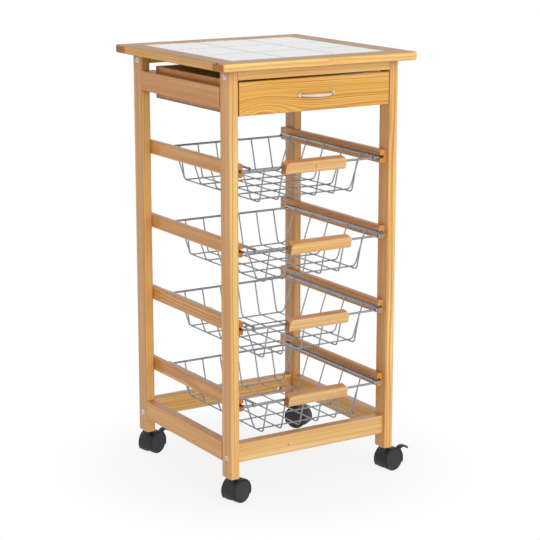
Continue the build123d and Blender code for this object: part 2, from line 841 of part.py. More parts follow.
def make_lever():
    # Curved brake lever, raised, in the caster's middle plane
    hump_x = hinge_x + lever_hump_place
    tip_x = hinge_x + lever_reach
    top_line = [
        (hinge_x, hinge_z + lever_barrel / 2),
        (hump_x, hinge_z + lever_hump),
        (tip_x, hinge_z - lever_tip_drop),
    ]
    under_line = [
        (tip_x - lever_nose_back, hinge_z - lever_tip_drop - lever_nose_drop),
        (hump_x, hinge_z + lever_hump - lever_wall),
        (hinge_x, hinge_z - lever_barrel / 2),
    ]
    edge = ThreePointArc(*top_line)
    edge += Line(top_line[2], under_line[0])
    edge += ThreePointArc(*under_line)
    edge += Line(under_line[2], top_line[0])
    blade = slab(make_face(edge), lever_width / 2)
    barrel = rod((hinge_x, -lever_width / 2, hinge_z), (hinge_x, lever_width / 2, hinge_z), lever_barrel)
    bore = rod((hinge_x, -lever_width, hinge_z), (hinge_x, lever_width, hinge_z), lever_pin + 2 * running)
    return blade + barrel - bore


# Write every node
os.makedirs("parts", exist_ok=True)

for name, piece in posts.items():
    save(name, piece)
save("right_drawer_rail", drawer_rail)
save("left_drawer_rail", mirrored_x(drawer_rail))
save("right_bottom_rail", bottom_side_rail)
save("left_bottom_rail", mirrored_x(bottom_side_rail))
save("front_top_rail", top_front_rail)
save("rear_top_rail", mirrored_y(top_front_rail))
save("front_bottom_rail", bottom_front_rail)
save("rear_bottom_rail", mirrored_y(bottom_front_rail))
save("right_basket_runners", *runners)
save("left_basket_runners", *[mirrored_x(runner) for runner in runners])
save("runner_pins", *pins)
save("frame_dowels", *dowels)
save("frame_bolts", *bolts)
save("barrel_nuts", *nuts)
save("drawer_guides", guide, mirrored_x(guide))

front_border = drilled(make_front_border(), holes)
right_border = drilled(make_right_border(), holes)
save("worktop_front_border", front_border)
save("worktop_rear_border", mirrored_y(front_border))
save("worktop_right_border", right_border)
save("worktop_left_border", mirrored_x(right_border))
save("tile_board", tile_board)
save("tiles", *tiles)
save("tile_grout", grout)
save("worktop_screws", *top_screws)
save("caster_stems", *stems)

save("drawer_front", drilled(front, drawer_holes))
save("drawer_right_side", drilled(side, drawer_holes))
save("drawer_left_side", drilled(mirrored_x(side), drawer_holes))
save("drawer_back", drilled(back, drawer_holes))
save("drawer_bottom", drilled(bottom, drawer_holes))
save("drawer_dowels", *drawer_dowels)
save("drawer_pins", *drawer_pins)
save("drawer_handle", handle)
save("drawer_handle_screws", *handle_screws)

for number, (runner_z, pull_out) in enumerate(zip(runner_heights, basket_pull_out), start=1):
    place = Pos(0, closed_front_y - pull_out, runner_z - groove_drop - wire_rest)
    save(f"basket_{number}", *[place * piece for piece in basket])
    save(f"basket_pull_{number}", place * pull)

for corner, angle in caster_angles.items():
    x = post_mid_x if "right" in corner else -post_mid_x
    y = post_mid_y if "rear" in corner else -post_mid_y
    place = Pos(x, y, 0) * Rot(0, 0, angle)
    wheel = make_wheel()
    braked = corner in braked_casters
    save(f"{corner}_caster_hood", place * make_hood(braked))
    save(f"{corner}_caster_wheels", place * wheel, place * mirrored_y(wheel))
    save(f"{corner}_caster_axle", place * make_axle())
    if braked:
        save(f"{corner}_brake_lever", place * make_lever())
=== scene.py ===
import json
import math

import bmesh
import bpy
from mathutils import Matrix, Vector


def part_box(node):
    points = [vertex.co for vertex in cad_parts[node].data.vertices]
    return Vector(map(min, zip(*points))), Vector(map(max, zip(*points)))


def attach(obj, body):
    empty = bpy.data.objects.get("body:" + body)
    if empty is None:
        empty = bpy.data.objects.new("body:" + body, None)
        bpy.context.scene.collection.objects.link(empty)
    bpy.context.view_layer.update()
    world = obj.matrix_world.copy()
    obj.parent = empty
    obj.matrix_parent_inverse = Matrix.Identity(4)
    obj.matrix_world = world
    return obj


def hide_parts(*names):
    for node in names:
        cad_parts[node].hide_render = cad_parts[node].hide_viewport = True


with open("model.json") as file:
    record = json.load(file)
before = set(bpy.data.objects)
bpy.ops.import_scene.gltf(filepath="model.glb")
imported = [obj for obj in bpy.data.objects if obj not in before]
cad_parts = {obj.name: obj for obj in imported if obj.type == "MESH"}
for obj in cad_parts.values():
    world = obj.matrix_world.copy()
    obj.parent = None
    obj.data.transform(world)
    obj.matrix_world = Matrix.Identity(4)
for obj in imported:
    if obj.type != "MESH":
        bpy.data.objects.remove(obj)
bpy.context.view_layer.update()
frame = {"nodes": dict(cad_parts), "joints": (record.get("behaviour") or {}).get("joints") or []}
nodes = frame["nodes"]
print("frame loaded:", len(nodes), "nodes")

casterCorners = ("front_left", "front_right", "rear_left", "rear_right")
white = (1.0, 1.0, 1.0, 1.0)

# Kinds of socket on node groups
real = "NodeSocketFloat"
count = "NodeSocketInt"
spot = "NodeSocketVector"
paint = "NodeSocketColor"
shape = "NodeSocketGeometry"
thing = "NodeSocketObject"
stuff = "NodeSocketMaterial"


def put(tree, kind, inputs=None, **settings):
    # One node, its settings and its inputs; an input is a value or another socket
    node = tree.nodes.new(kind)
    for name, value in settings.items():
        setattr(node, name, value)
    for name, value in (inputs or {}).items():
        if isinstance(value, bpy.types.NodeSocket):
            tree.links.new(value, node.inputs[name])
        else:
            node.inputs[name].default_value = value
    return node


def maths(tree, operation, *values, clamp=False):
    inputs = dict(enumerate(values))
    return put(tree, "ShaderNodeMath", inputs, operation=operation, use_clamp=clamp).outputs[0]


def plus(tree, a, b):
    return maths(tree, "ADD", a, b)


def less(tree, a, b):
    return maths(tree, "SUBTRACT", a, b)


def times(tree, a, b):
    return maths(tree, "MULTIPLY", a, b)


def over(tree, a, b):
    return maths(tree, "DIVIDE", a, b)


def square(tree, value):
    return times(tree, value, value)


def hump(tree, distanceSquared):
    # 1 in the middle, falling away smoothly
    return maths(tree, "EXPONENT", times(tree, distanceSquared, -1.0))


def vectorMaths(tree, operation, a, b=(0.0, 0.0, 0.0), result="Vector"):
    return put(tree, "ShaderNodeVectorMath", {0: a, 1: b}, operation=operation).outputs[result]


def scaled(tree, vector, scale):
    return put(tree, "ShaderNodeVectorMath", {0: vector, "Scale": scale}, operation="SCALE").outputs[0]


def combine(tree, x, y, z):
    return put(tree, "ShaderNodeCombineXYZ", {0: x, 1: y, 2: z}).outputs[0]


def separate(tree, vector):
    return put(tree, "ShaderNodeSeparateXYZ", {0: vector}).outputs


def ease(tree, value, low, high, outLow=0.0, outHigh=1.0):
    # Smooth step between two values
    inputs = {0: value, 1: low, 2: high, 3: outLow, 4: outHigh}
    return put(tree, "ShaderNodeMapRange", inputs, interpolation_type="SMOOTHSTEP").outputs[0]


def tint(tree, factor, a, b, mode="MIX"):
    inputs = {0: factor, 6: a, 7: b}
    return put(tree, "ShaderNodeMix", inputs, data_type="RGBA", blend_type=mode).outputs[2]


def noise(tree, vector, scale, detail=2.0, roughness=0.5):
    inputs = {"Vector": vector, "Scale": scale, "Detail": detail, "Roughness": roughness}
    return put(tree, "ShaderNodeTexNoise", inputs).outputs[0]


def dice(tree, seed):
    # A random number that stays the same for the same seed
    return put(tree, "ShaderNodeTexWhiteNoise", {"W": seed}, noise_dimensions="1D").outputs[0]


def newGroup(name, inputs, outputs, kind="ShaderNodeTree"):
    # An empty node group with its named sockets, and its two end nodes' sockets
    tree = bpy.data.node_groups.new(name, kind)
    for label, socketType, value in inputs:
        socket = tree.interface.new_socket(label, in_out="INPUT", socket_type=socketType)
        if value is not None:
            socket.default_value = value
    for label, socketType in outputs:
        tree.interface.new_socket(label, in_out="OUTPUT", socket_type=socketType)
    start = tree.nodes.new("NodeGroupInput")
    end = tree.nodes.new("NodeGroupOutput")
    return tree, start.outputs, end.inputs


# Lacquered pine: what all boards share; each board's own cut of the log is in boardKinds
pineColours = {
    "pale": (0.88, 0.57, 0.225, 1.0), "honey": (0.84, 0.485, 0.105, 1.0),
    "paleRing": (0.61, 0.285, 0.09, 1.0), "honeyRing": (0.57, 0.23, 0.036, 1.0),
    "sapWash": (0.97, 0.84, 0.70, 1.0), "goldStreak": (0.98, 0.69, 0.24, 1.0),
    "knotCore": (0.24, 0.085, 0.024, 1.0), "knotRing": (0.40, 0.165, 0.05, 1.0),
    "knotRim": (0.07, 0.028, 0.012, 1.0), "knotHalo": (0.55, 0.24, 0.06, 1.0),
    "glueLine": (0.80, 0.66, 0.52, 1.0), "chip": (0.05, 0.022, 0.012, 1.0),
}
# Streaks along the board: scale along it, scale across it, detail
pineStreaks = {
    "slow": (4.5, 13.0, 1.0), "quick": (26.0, 70.0, 1.0), "fine": (22.0, 1500.0, 1.0),
    "broad": (5.0, 210.0, 2.0), "blotch": (6.0, 16.0, 1.0), "long": (2.5, 120.0, 1.0),
}
pineShade = {"fine": 0.14, "broad": 0.26, "blotch": 0.2, "base": 0.7, "channels": (0.75, 1.15, 1.7)}
pineLog = {
    "rowSeed": 5.3, "rowMove": 0.03, "spliceSlant": 0.9, "spliceSeed": 7.7,
    "seedShift": (1.731, 3.37, 2.517),
    "slowWander": 2.6, "quickWander": 0.35, "ringNoise": 0.31, "ringUneven": 1.9,
    "knotLength": 0.75, "knotRagged": 0.8, "knotReach": 2.6, "knotRings": 16.0,
}


def placeInLog(tree, ins):
    # Boards a row apart in one node, and the two lengths of a glued-up board, get their own part of the log
    x, y, z = separate(tree, ins["Vector"])
    row = maths(tree, "ROUND", over(tree, y, ins["Row Pitch"]))
    y = less(tree, y, times(tree, row, ins["Row Pitch"]))
    seed = plus(tree, ins["Seed"], times(tree, row, pineLog["rowSeed"]))
    fromSplice = less(tree, less(tree, x, ins["Splice X"]), times(tree, y, pineLog["spliceSlant"]))
    beyond = maths(tree, "GREATER_THAN", fromSplice, 0.0)
    seed = plus(tree, seed, times(tree, beyond, pineLog["spliceSeed"]))
    rowMove = times(tree, less(tree, dice(tree, seed), 0.5), times(tree, row, pineLog["rowMove"]))
    return x, y, z, seed, plus(tree, ins["Pith Side"], rowMove), fromSplice


def drawStreaks(tree, ins, seed):
    # Noise drawn out along the board, in several widths
    shift = combine(tree, *[times(tree, seed, share) for share in pineLog["seedShift"]])
    made = {}
    for name, (along, across, detail) in pineStreaks.items():
        stretched = vectorMaths(tree, "MULTIPLY", ins["Vector"], (along, across, across))
        made[name] = noise(tree, vectorMaths(tree, "ADD", stretched, shift), 1.0, detail)
    return made


def distanceFromKnot(tree, ins, x, y, quick):
    # In knot sizes, with a ragged edge
    knotX = over(tree, less(tree, x, ins["Knot X"]), ins["Knot Size"])
    knotX = times(tree, knotX, pineLog["knotLength"])
    knotY = over(tree, less(tree, y, ins["Knot Y"]), ins["Knot Size"])
    away = maths(tree, "SQRT", plus(tree, square(tree, knotX), square(tree, knotY)))
    return plus(tree, away, times(tree, quick, pineLog["knotRagged"]))


def lateWood(tree, ins, y, z, seed, pithSide, wander, lift):
    # The dark part of each year ring round the pith; wander and lift bend the rings
    side = square(tree, less(tree, y, pithSide))
    depth = square(tree, less(tree, z, ins["Pith Depth"]))
    radius = plus(tree, maths(tree, "SQRT", plus(tree, side, depth)), wander)
    ring = over(tree, less(tree, radius, lift), ins["Ring Gap"])
    uneven = put(tree, "ShaderNodeTexNoise", {
        "W": plus(tree, times(tree, ring, pineLog["ringNoise"]), seed), "Scale": 1.0, "Detail": 1.0,
    }, noise_dimensions="1D").outputs[0]
    ring = plus(tree, ring, times(tree, uneven, pineLog["ringUneven"]))
    part = maths(tree, "FRACT", ring)
    tone = dice(tree, plus(tree, maths(tree, "FLOOR", ring), seed))
    tone = maths(tree, "MULTIPLY_ADD", tone, 0.55, 0.45)
    late = times(tree, ease(tree, part, 0.22, 0.68), ease(tree, part, 0.80, 1.0, 1.0, 0.0))
    return times(tree, maths(tree, "POWER", late, 0.9), tone)


def colourWood(tree, ins, late, streaks):
    colours = pineColours
    sap = ease(tree, streaks["long"], 0.40, 0.62)
    golden = ease(tree, streaks["long"], 0.32, 0.46, 0.55, 0.0)
    early = tint(tree, ins["Honey"], colours["pale"], colours["honey"])
    early = tint(tree, times(tree, sap, 0.8), early, colours["sapWash"], "MULTIPLY")
    early = tint(tree, golden, early, colours["goldStreak"])
    dark = tint(tree, ins["Honey"], colours["paleRing"], colours["honeyRing"])
    wood = tint(tree, maths(tree, "MULTIPLY", late, ins["Contrast"], clamp=True), early, dark)
    fine, broad = (times(tree, streaks[name], pineShade[name]) for name in ("fine", "broad"))
    shade = plus(tree, plus(tree, fine, broad), times(tree, streaks["blotch"], pineShade["blotch"]))
    shade = plus(tree, shade, pineShade["base"])
    # Shade darkens blue most and red least, as the lacquer does
    channels = [maths(tree, "POWER", shade, power) for power in pineShade["channels"]]
    return tint(tree, 1.0, wood, combine(tree, *channels), "MULTIPLY")


def paintKnot(tree, wood, knotFar):
    colours = pineColours
    rings = maths(tree, "SINE", times(tree, knotFar, pineLog["knotRings"]))
    knot = tint(tree, ease(tree, rings, -1.0, 1.0), colours["knotCore"], colours["knotRing"])
    rim = ease(tree, knotFar, 0.62, 0.92)
    knot = tint(tree, times(tree, rim, 0.75), knot, colours["knotRim"])
    wood = tint(tree, ease(tree, knotFar, 0.75, 1.05, 1.0, 0.0), wood, knot)
    return tint(tree, ease(tree, knotFar, 1.0, 2.4, 0.30, 0.0), wood, colours["knotHalo"])


def buildPineGroup():
    # Sawn pine in board space: x along the board, y across its wide face, z through it
    tree, ins, outs = newGroup("pineTimber", [
        ("Vector", spot, None), ("Facing", spot, None), ("Seed", real, 0.0),
        ("Ring Gap", real, 0.002), ("Pith Side", real, 0.03), ("Pith Depth", real, 0.02),
        ("Wander", real, 0.002),
        ("Arch X", real, 0.0), ("Arch Y", real, 0.0), ("Arch Lift", real, 0.0),
        ("Arch Long", real, 0.04), ("Arch Wide", real, 0.03),
        ("Knot X", real, 9.0), ("Knot Y", real, 0.0), ("Knot Size", real, 0.004),
        ("Honey", real, 0.5), ("Contrast", real, 1.0), ("Row Pitch", real, 10.0), ("Splice X", real, 9.0),
        ("Tone", paint, white), ("Painted Side Shade", paint, white), ("End Tone", paint, (0.58, 0.40, 0.33, 1.0)),
        ("Chip", spot, (9.0, 0.0, 0.0)), ("Chip Size", real, 0.002),
    ], [("Color", paint), ("Roughness", real), ("Height", real)])
    x, y, z, seed, pithSide, fromSplice = placeInLog(tree, ins)
    streaks = drawStreaks(tree, ins, seed)
    slow, quick = (less(tree, streaks[name], 0.5) for name in ("slow", "quick"))
    wander = plus(tree, times(tree, slow, pineLog["slowWander"]), times(tree, quick, pineLog["quickWander"]))
    wander = times(tree, wander, ins["Wander"])
    archX = over(tree, less(tree, x, ins["Arch X"]), ins["Arch Long"])
    archY = over(tree, less(tree, y, ins["Arch Y"]), ins["Arch Wide"])
    arch = hump(tree, plus(tree, square(tree, archX), square(tree, archY)))
    arch = times(tree, arch, ins["Arch Lift"])
    knotFar = distanceFromKnot(tree, ins, x, y, quick)
    knotLift = hump(tree, square(tree, over(tree, knotFar, pineLog["knotReach"])))
    knotLift = times(tree, knotLift, ins["Knot Size"])
    late = lateWood(tree, ins, y, z, seed, pithSide, wander, plus(tree, arch, knotLift))
    wood = paintKnot(tree, colourWood(tree, ins, late, streaks), knotFar)
    glueLine = ease(tree, maths(tree, "ABSOLUTE", fromSplice), 0.0002, 0.0009, 1.0, 0.0)
    wood = tint(tree, glueLine, wood, pineColours["glueLine"], "MULTIPLY")
    # Cut ends soak up the lacquer and look darker; on a board's narrow sides shade is painted in, which
    # darkens the tops and undersides of rails, runners, borders and pulls and the side faces of posts
    facing = separate(tree, ins["Facing"])
    endMask = ease(tree, maths(tree, "ABSOLUTE", facing[0]), 0.75, 0.95)
    shadedSideMask = ease(tree, maths(tree, "ABSOLUTE", facing[1]), 0.5, 0.9)
    # Tone is the board's own colour; on some boards it also carries painted shade
    wood = tint(tree, 1.0, wood, ins["Tone"], "MULTIPLY")
    wood = tint(tree, shadedSideMask, wood, ins["Painted Side Shade"], "MULTIPLY")
    wood = tint(tree, endMask, wood, ins["End Tone"], "MULTIPLY")
    # One small dark chip in an edge
    fromChip = vectorMaths(tree, "DISTANCE", ins["Vector"], ins["Chip"], "Value")
    fromChip = plus(tree, over(tree, fromChip, ins["Chip Size"]), times(tree, quick, 1.2))
    wood = tint(tree, ease(tree, fromChip, 0.75, 1.1, 1.0, 0.0), wood, pineColours["chip"])
    tree.links.new(wood, outs["Color"])
    rough = maths(tree, "MULTIPLY_ADD", streaks["fine"], 0.14, 0.36)
    tree.links.new(plus(tree, rough, times(tree, endMask, 0.22)), outs["Roughness"])
    tree.links.new(plus(tree, times(tree, late, 0.5), times(tree, streaks["fine"], 0.5)), outs["Height"])
    return tree


def buildUnevenGroup():
    # Fine unevenness shared by metal, plastic, glaze, grout and board: broad patches and a fine grain
    tree, ins, outs = newGroup("surfaceUnevenness", [
        ("Vector", spot, None), ("Scale", real, 400.0), ("Patch Scale", real, 30.0),
    ], [("Patches", real), ("Grain", real)])
    patch = noise(tree, ins["Vector"], ins["Patch Scale"], 3.0, 0.55)
    tree.links.new(ease(tree, patch, 0.35, 0.7), outs["Patches"])
    tree.links.new(noise(tree, ins["Vector"], ins["Scale"], 3.0, 0.6), outs["Grain"])
    return tree


pineGroup = buildPineGroup()
unevenGroup = buildUnevenGroup()


def newMaterial(name, **fixed):
    # A material with its shader; fixed values go on the shader's own sockets
    material = bpy.data.materials.new(name)
    material.use_nodes = True
    tree = material.node_tree
    tree.nodes.clear()
    shader = put(tree, "ShaderNodeBsdfPrincipled")
    for label, value in fixed.items():
        shader.inputs[label.replace("_", " ")].default_value = value
    put(tree, "ShaderNodeOutputMaterial", {"Surface": shader.outputs[0]})
    return material, tree, shader, put(tree, "ShaderNodeTexCoord").outputs


def uneven(tree, place, scale, patchScale):
    inputs = {"Vector": place, "Scale": scale, "Patch Scale": patchScale}
    made = put(tree, "ShaderNodeGroup", inputs, node_tree=unevenGroup).outputs
    return made["Patches"], made["Grain"]


def feedShader(tree, shader, colour, roughness, height, distance):
    # Colour, roughness and fine relief go to the shader; a roughness is a value or a socket
    tree.links.new(colour, shader.inputs["Base Color"])
    if isinstance(roughness, bpy.types.NodeSocket):
        tree.links.new(roughness, shader.inputs["Roughness"])
    else:
        shader.inputs["Roughness"].default_value = roughness
    bump = put(tree, "ShaderNodeBump", {"Height": height, "Distance": distance, "Strength": 1.0})
    tree.links.new(bump.outputs[0], shader.inputs["Normal"])


axisOf = {"X": Vector((1, 0, 0)), "Y": Vector((0, 1, 0)), "Z": Vector((0, 0, 1))}


def timber(name, centre, along, wide, coat=0.38, shine=0.36, **sizes):
    # Pine for one board: along is its length, wide the way that its wide face looks
    material, tree, shader, coordinates = newMaterial(
        name, Coat_Weight=coat, Coat_Roughness=0.16, Coat_IOR=1.5, IOR=1.45, Specular_IOR_Level=shine)
    lengthWay, faceWay = axisOf[along], axisOf[wide]
    crossWay = faceWay.cross(lengthWay)
    turn = Matrix((lengthWay, crossWay, faceWay)).transposed().to_euler()
    centre = Vector(centre) + crossWay * sizes.get("Row Pitch", 0.0) / 2
    board = put(tree, "ShaderNodeMapping", {
        "Vector": coordinates["Object"], "Location": centre, "Rotation": turn,
    }, vector_type="TEXTURE")
    facing = put(tree, "ShaderNodeMapping", {
        "Vector": coordinates["Normal"], "Rotation": turn,
    }, vector_type="TEXTURE")
    inputs = {"Vector": board.outputs[0], "Facing": facing.outputs[0], **sizes}
    made = put(tree, "ShaderNodeGroup", inputs, node_tree=pineGroup).outputs
    feedShader(tree, shader, made["Color"], made["Roughness"], made["Height"], 0.00012)
    return material


def metal(name, colour, roughness, dark=0.75, bump=0.00002, spread=0.18):
    material, tree, shader, coordinates = newMaterial(name, Metallic=1.0)
    patches, grain = uneven(tree, coordinates["Object"], 600.0, 40.0)
    darker = tuple(part * dark for part in colour[:3]) + (1.0,)
    surface = tint(tree, times(tree, patches, grain), colour, darker)
    rough = maths(tree, "MULTIPLY_ADD", grain, spread, roughness)
    feedShader(tree, shader, surface, rough, grain, bump)
    return material


def plastic(name, colour, scuffed, roughness):
    material, tree, shader, coordinates = newMaterial(name, IOR=1.5, Specular_IOR_Level=0.33)
    patches, grain = uneven(tree, coordinates["Object"], 900.0, 55.0)
    surface = tint(tree, times(tree, patches, 0.7), colour, scuffed)
    rough = maths(tree, "MULTIPLY_ADD", grain, 0.2, roughness)
    feedShader(tree, shader, surface, rough, grain, 0.00003)
    return material


def glaze():
    # White glazed ceramic: each tile has its own slight tone and an uneven, glossy top
    material, tree, shader, coordinates = newMaterial("whiteGlaze", Coat_Weight=0.6, Coat_Roughness=0.03)
    place = coordinates["Object"]
    patches, grain = uneven(tree, place, 90.0, 14.0)
    pitches = vectorMaths(tree, "MULTIPLY", place, (10.0, 10.0, 0.0))
    cell = vectorMaths(tree, "FLOOR", vectorMaths(tree, "ADD", pitches, (0.5, 0.5, 0.0)))
    tone = put(tree, "ShaderNodeTexWhiteNoise", {"Vector": cell}, noise_dimensions="3D").outputs[0]
    surface = tint(tree, tone, (0.79, 0.80, 0.825, 1.0), (0.85, 0.855, 0.87, 1.0))
    surface = tint(tree, times(tree, patches, 0.35), surface, (0.80, 0.80, 0.80, 1.0))
    rough = maths(tree, "MULTIPLY_ADD", grain, 0.12, 0.10)
    feedShader(tree, shader, surface, rough, grain, 0.00025)
    return material


def mortar():
    material, tree, shader, coordinates = newMaterial("tileGrout")
    patches, grain = uneven(tree, coordinates["Object"], 1800.0, 60.0)
    sand = tint(tree, grain, (0.86, 0.86, 0.86, 1.0), (0.93, 0.93, 0.93, 1.0))
    sand = tint(tree, times(tree, patches, 0.3), sand, (0.80, 0.80, 0.79, 1.0))
    feedShader(tree, shader, sand, 0.9, grain, 0.0004)
    return material


def hardboard():
    # Pressed brown fibre board, smooth on the outside with flecks
    material, tree, shader, coordinates = newMaterial("hardboard")
    place = coordinates["Object"]
    flecks = noise(tree, vectorMaths(tree, "MULTIPLY", place, (260.0, 620.0, 620.0)), 1.0, 4.0, 0.7)
    patches, grain = uneven(tree, place, 1200.0, 25.0)
    brown = tint(tree, ease(tree, flecks, 0.3, 0.75), (0.20, 0.115, 0.06, 1.0), (0.42, 0.27, 0.15, 1.0))
    brown = tint(tree, times(tree, patches, 0.35), brown, (0.30, 0.19, 0.105, 1.0))
    feedShader(tree, shader, brown, 0.6, grain, 0.00012)
    return material


